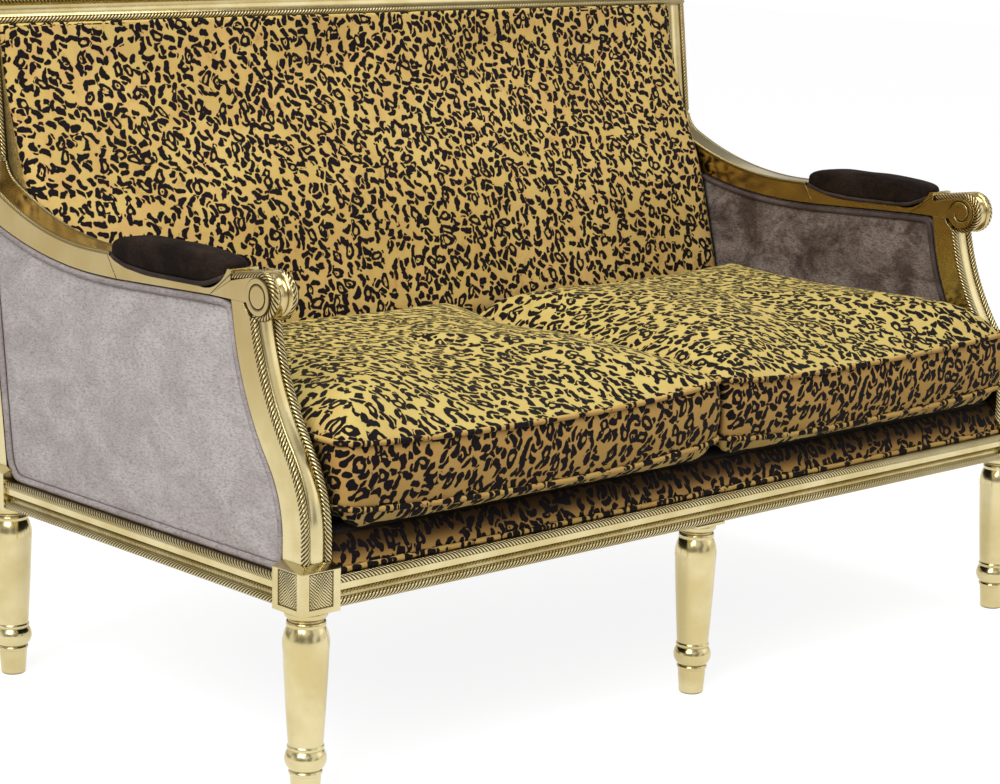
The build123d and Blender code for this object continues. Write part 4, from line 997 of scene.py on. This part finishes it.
def ringPoints(own, a, b):
    # square parameters (a, b) to the plan: rings of a rounded rectangle, bowed in front, drawn in at the
    # sides; the edge shared by both cushions slides to the right towards the back
    look = cushionLook
    m = np.maximum(np.maximum(np.abs(a), np.abs(b)), 1e-9)
    ea, eb = a / m, b / m
    size = (np.abs(ea) ** look["square"] + np.abs(eb) ** look["square"] + 1e-12) ** (1 / look["square"])
    hx, hy = (own["maxX"] - own["minX"]) / 2, (look["rear"] - own["front"]) / 2
    inX = look["draw"] * (1 - eb ** 2) * np.abs(ea) ** 8
    inY = look["draw"] * (1 - ea ** 2) * np.clip(eb, 0, 1) ** 8
    inY = inY + own["bow"] * np.abs(ea) ** 2.5 * np.clip(-eb, 0, 1) ** 8
    x = (own["maxX"] + own["minX"]) / 2 + m * ea * (hx - inX) / size
    x = x + look["slide"] * (1 - ((1 - m * eb) / 2) ** 2) * np.clip(own["shared"] * m * ea, 0, 1)
    x = x + own["ear"] * np.clip(m * ea, 0, 1) ** 8 * np.clip(-m * eb, 0, 1) ** 60
    y = (look["rear"] + own["front"]) / 2 + m * eb * (hy - inY) / size
    return x, y, m, ea, eb


def seamLevels(own, ea, eb):
    # both seams rise towards the front corners
    look = cushionLook
    corner = np.abs(ea) ** 3.0 * (0.35 + 0.65 * np.clip(-eb, 0, 1))
    wave = 1.2 * np.sin(3.1 * ea + 2.3 * eb + own["phase"])
    return (look["lowSeam"] + own["up"] + look["lowLift"] * corner + wave,
            look["highSeam"] + own["up"] + look["highLift"] * corner + wave)


def eased(count):
    # places from -1 to 1, closer together towards both ends
    return np.sin(np.linspace(-1, 1, count) * cushionLook["ease"]) / math.sin(cushionLook["ease"])


def cushionMesh(own):
    # top and underside on square grids, joined by the boxing; all three share the seam points
    look = cushionLook
    nx = int((own["maxX"] - own["minX"]) / look["cell"])
    ny = int((look["rear"] - own["front"]) / look["cell"])
    a, b = np.meshgrid(eased(nx), eased(ny), indexing="ij")
    x, y, m, ea, eb = ringPoints(own, a, b)
    lowZ, highZ = seamLevels(own, ea, eb)
    weights = np.stack([np.clip(-eb, 0, 1) ** 4, np.abs(ea) ** 4, np.clip(eb, 0, 1) ** 4])
    # the crown falls off by another power in front, at the sides and behind
    power = np.tensordot(look["fall"], weights + 1e-9, 1) / (weights + 1e-9).sum(0)
    power = power + 5.0 * np.clip(-own["shared"] * ea, 0, 1) ** 4
    soft = 1.4 * np.sin(x / 83 + own["phase"]) * np.sin(y / 71) + 0.7 * np.sin(x / 37 + y / 45)
    soft = soft * (1 - m ** 3)
    pucker = 0.9 * np.sin((x + y) / 6.1 + 2 * np.sin(x / 53)) * np.exp(-(1 - m) * 14) * (1 - m ** 40)
    top = np.stack([x, y, highZ + own["crown"] * (1 - m ** power) + soft + pucker], -1)
    under = np.stack([x, y, lowZ - (lowZ - restLevel(y)) * (1 - m ** 55)], -1)
    ids = np.arange(nx * ny).reshape(nx, ny)
    edge = np.concatenate([ids[0, :0:-1], ids[:-1, 0], ids[-1, :-1], ids[:0:-1, -1]])
    flatTop, flatUnder = top.reshape(-1, 3), under.reshape(-1, 3)
    lower, upper = flatUnder[edge], flatTop[edge]
    t = np.roll(upper, -1, 0) - np.roll(upper, 1, 0)
    outwards = np.column_stack([t[:, 1], -t[:, 0], np.zeros(len(t))])
    outwards /= np.linalg.norm(outwards, axis=1, keepdims=True)
    v = np.linspace(0, 1, look["wall"] + 2)[1:-1]
    fullness = (look["bulge"] * np.sin(math.pi * v))[:, None, None]
    away = outwards * (0.15 + 0.85 * np.abs(outwards[:, 1:2]))  # mostly at the front and back
    wall = lower[None] + (upper - lower)[None] * v[:, None, None] + fullness * away[None]
    points = np.vstack([flatTop, flatUnder, wall.reshape(-1, 3)])
    quads = np.array(gridFaces(nx, ny, False, False, False))
    wallIds = 2 * nx * ny + np.arange(wall[..., 0].size).reshape(len(v), -1)
    rings = np.vstack([[edge + nx * ny], wallIds, [edge]])
    after = np.roll(rings, -1, 1)
    boxing = np.stack([rings[:-1], after[:-1], after[1:], rings[1:]], -1).reshape(-1, 4)
    faces = np.vstack([quads, quads[:, ::-1] + nx * ny, boxing])
    return points, faces, len(quads), rings, outwards


def cushionCloth(piece, points, faces, flatCount, rings):
    # print laid flat on top and underside and along the strip of the boxing, cornerwise so the seams stay sharp
    mesh = piece.data
    loopVerts = np.empty(len(mesh.loops), dtype=np.int64)
    mesh.loops.foreach_get("vertex_index", loopVerts)
    face = np.repeat(np.arange(len(faces)), 4)
    flat = points[loopVerts][:, :2].copy()
    seam = points[rings[-1]]
    run = np.concatenate([[0.0], np.cumsum(np.linalg.norm(np.diff(seam, axis=0), axis=1))])
    whole = run[-1] + np.linalg.norm(seam[0] - seam[-1])
    along = np.zeros(len(points))
    along[rings] = run[None, :]
    first = np.zeros(len(points), dtype=bool)
    first[rings[:, 0]] = True
    column = np.zeros(len(faces), dtype=np.int64)
    column[2 * flatCount:] = np.tile(np.arange(rings.shape[1]), rings.shape[0] - 1)
    isWall = face >= 2 * flatCount
    wrap = isWall & (column[face] == rings.shape[1] - 1) & first[loopVerts]
    lift = points[loopVerts][:, 2]
    strip = np.column_stack([along[loopVerts] + whole * wrap - 0.35 * lift, lift])
    flat[isWall] = strip[isWall]
    # the third value, 1 on the boxing, gives it painted shade and a little more print
    layer = mesh.attributes.new("cloth", "FLOAT_VECTOR", "CORNER")
    layer.data.foreach_set("vector", np.column_stack([flat, isWall]).astype(np.float32).ravel())


swell = {"pressure": 4.0, "frames": 20, "cap": 0.012, "quality": 5}


def inflate(piece, held):
    # cloth under pressure with both seams held; the movement fades out towards the cap
    mesh = piece.data
    before = np.empty(len(mesh.vertices) * 3)
    mesh.vertices.foreach_get("co", before)
    before = before.reshape(-1, 3)
    group = piece.vertex_groups.new(name="seams")
    group.add(held, 1.0, "REPLACE")
    cloth = piece.modifiers.new("cloth", "CLOTH")
    cloth.settings.use_pressure = True
    cloth.settings.uniform_pressure_force = swell["pressure"]
    cloth.settings.effector_weights.gravity = 0.0
    cloth.settings.vertex_group_mass = "seams"
    cloth.settings.quality = swell["quality"]
    scene = bpy.context.scene
    for k in range(1, swell["frames"] + 1):
        scene.frame_set(k)
    shaped = piece.evaluated_get(bpy.context.evaluated_depsgraph_get())
    after = np.empty(len(mesh.vertices) * 3)
    shaped.data.vertices.foreach_get("co", after)
    move = after.reshape(-1, 3) - before
    size = np.linalg.norm(move, axis=1, keepdims=True)
    move *= swell["cap"] * np.tanh(size / swell["cap"]) / np.maximum(size, 1e-9)
    piece.modifiers.remove(cloth)
    piece.vertex_groups.clear()
    scene.frame_set(1)
    print(piece.name, "swelled by up to", round(1000 * float(size.max()), 1), "mm before the cap")
    return before + move


def makeCushion(side):
    # sewn shell filled by the simulation, kept off the deck and the back, with piping along both seams
    look, own = cushionLook, cushionLook[side]
    points, faces, flatCount, rings, outwards = cushionMesh(own)
    body = side + "_cushion"
    piece = makePiece(side + "_seat_cushion", points, faces.tolist(), printedVelvet, body)
    cushionCloth(piece, points, faces, flatCount, rings)
    shape = inflate(piece, rings[[0, -1]].ravel().tolist()) * 1000 - [0.0, yShift, 0.0]
    shape[:, 0] = np.clip(shape[:, 0], points[:, 0] - look["give"], points[:, 0] + look["give"])
    shape[:, 1] = np.minimum(shape[:, 1], look["rear"])
    shape[:, 2] = np.maximum(shape[:, 2], restLevel(shape[:, 1]))
    place = (shape + [0.0, yShift, 0.0]) * 0.001
    piece.data.vertices.foreach_set("co", place.ravel())
    piece.data.update()
    smooth = piece.modifiers.new("smooth", "SUBSURF")
    smooth.levels = smooth.render_levels = 1
    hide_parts(body)
    for level, ring in (("lower", rings[0]), ("upper", rings[-1])):
        run = points[ring] + look["cordOut"] * outwards
        pipingPiece(f"{side}_cushion_{level}_welt", run, (0, 0, 1), look["cord"], printedVelvet,
                    body, gather=0.05)


for side in sides:
    makeCushion(side)
print("cushions made")


# Finishes of the cad nodes that stay

def finishFor(name):
    if name in ("back_webbing", "seat_webbing"):
        return juteCloth
    if name == "leg_bolts":
        return zinc
    if name in ("corner_braces", "seat_centre_rail", "lower_back_rail"):
        return beech
    return brass


for name, node in nodes.items():
    node.data.materials.clear()
    node.data.materials.append(finishFor(name))
print("finishes set")


# Studio

studio = {"world": 0.40, "key": 92.0, "fill": 8.0, "top": 62.0, "glow": 0.88, "paper": 0.30, "bounce": 0.50,
          "floor": 14.0}


def makeFloor():
    # pale floor, white to the camera and in reflections except where the settee's shadow falls
    mesh = bpy.data.meshes.new("studio_floor")
    r = studio["floor"]
    mesh.from_pydata([(-r, -r, 0), (r, -r, 0), (r, r, 0), (-r, r, 0)], [], [(0, 1, 2, 3)])
    material = bpy.data.materials.new("pale studio floor")
    material.use_nodes = True
    tree = material.node_tree
    tree.nodes.clear()
    paper = addNode(tree, "BsdfDiffuse", {"Color": (studio["paper"],) * 3 + (1.0,)})
    glow = addNode(tree, "Emission", {"Color": (1, 1, 1, 1), "Strength": studio["glow"]})
    both = addNode(tree, "AddShader", {0: paper, 1: glow})
    plain = addNode(tree, "BsdfDiffuse", {"Color": (studio["bounce"],) * 3 + (1.0,)})
    rays = addNode(tree, "LightPath")
    seen = addNode(tree, "Math", {0: rays.outputs["Is Camera Ray"], 1: rays.outputs["Is Glossy Ray"]},
                   operation="MAXIMUM")
    pick = addNode(tree, "MixShader", {0: seen, 1: plain, 2: both})
    addNode(tree, "OutputMaterial", {0: pick})
    mesh.materials.append(material)
    floor = bpy.data.objects.new("studio_floor", mesh)
    bpy.context.collection.objects.link(floor)


def makeWorld():
    # white to the camera, a studio of pale and darker walls in reflections, a soft even level for the rest
    world = bpy.data.worlds.new("studio")
    world.use_nodes = True
    tree = world.node_tree
    tree.nodes.clear()
    rays = addNode(tree, "LightPath")
    white = addNode(tree, "Background", {"Color": (1, 1, 1, 1), "Strength": 1.0})
    soft = addNode(tree, "Background", {"Color": "#F4F4F6", "Strength": studio["world"]})
    way = addNode(tree, "TexCoord").outputs["Generated"]
    walls = addNode(tree, "TexNoise", {"Vector": way, "Scale": 1.7, "Detail": 1.0})
    level = addNode(tree, "MapRange", {0: walls, 1: 0.36, 2: 0.60, 3: 0.30}, interpolation_type="SMOOTHSTEP")
    room = addNode(tree, "Background", {"Color": (1, 1, 1, 1), "Strength": level})
    shine = addNode(tree, "MixShader", {0: rays.outputs["Is Glossy Ray"], 1: soft, 2: room})
    seen = addNode(tree, "Math", {0: rays.outputs["Is Camera Ray"], 1: rays.outputs["Is Transmission Ray"]},
                   operation="MAXIMUM")
    pick = addNode(tree, "MixShader", {0: seen, 1: shine, 2: white})
    addNode(tree, "OutputWorld", {0: pick})
    bpy.context.scene.world = world


def softbox(name, place, aim, size, watts):
    # rectangular area lamp turned to look at a point
    lamp = bpy.data.lights.new(name, "AREA")
    lamp.shape = "RECTANGLE"
    lamp.size, lamp.size_y = size
    lamp.energy = watts
    holder = bpy.data.objects.new(name, lamp)
    away = np.array(place) - np.array(aim)
    away = away / np.linalg.norm(away)
    right = np.cross([0, 0, 1], away)
    right = right / np.linalg.norm(right)
    up = np.cross(away, right)
    turn = Matrix([[right[k], up[k], away[k], place[k]] for k in range(3)] + [[0, 0, 0, 1]])
    holder.matrix_world = turn
    bpy.context.collection.objects.link(holder)


shot = {"lens": 93.68, "yaw": 0.7425131, "pitch": 0.2000695, "roll": 0.0201772,
        "place": (-2.6215, -2.8185, 1.1557)}


def makeCamera():
    # camera fitted to the photograph
    camera = bpy.data.cameras.new("photo_camera")
    camera.sensor_fit = "HORIZONTAL"
    camera.sensor_width = 36.0
    camera.lens = shot["lens"]
    camera.clip_end = 60.0
    yaw, pitch, roll = shot["yaw"], shot["pitch"], shot["roll"]
    look = np.array([math.sin(yaw) * math.cos(pitch), math.cos(yaw) * math.cos(pitch), -math.sin(pitch)])
    right = np.cross(look, [0, 0, 1])
    right /= np.linalg.norm(right)
    up = np.cross(right, look)
    r = math.cos(roll) * right + math.sin(roll) * up
    u = -math.sin(roll) * right + math.cos(roll) * up
    holder = bpy.data.objects.new("photo_camera", camera)
    rows = [[r[k], u[k], -look[k], shot["place"][k]] for k in range(3)]
    holder.matrix_world = Matrix(rows + [[0, 0, 0, 1]])
    bpy.context.collection.objects.link(holder)
    bpy.context.scene.camera = holder


makeFloor()
makeWorld()
softbox("key_softbox", (-3.2, -1.5, 2.9), (0.0, 0.0, 0.4), (2.2, 2.2), studio["key"])
softbox("fill_softbox", (2.8, -2.6, 2.0), (0.0, 0.0, 0.4), (2.4, 2.0), studio["fill"])
softbox("top_softbox", (0.0, -0.4, 3.4), (0.0, 0.0, 0.4), (3.0, 2.0), studio["top"])
makeCamera()
bpy.context.scene.view_settings.view_transform = "Standard"
print("studio made")
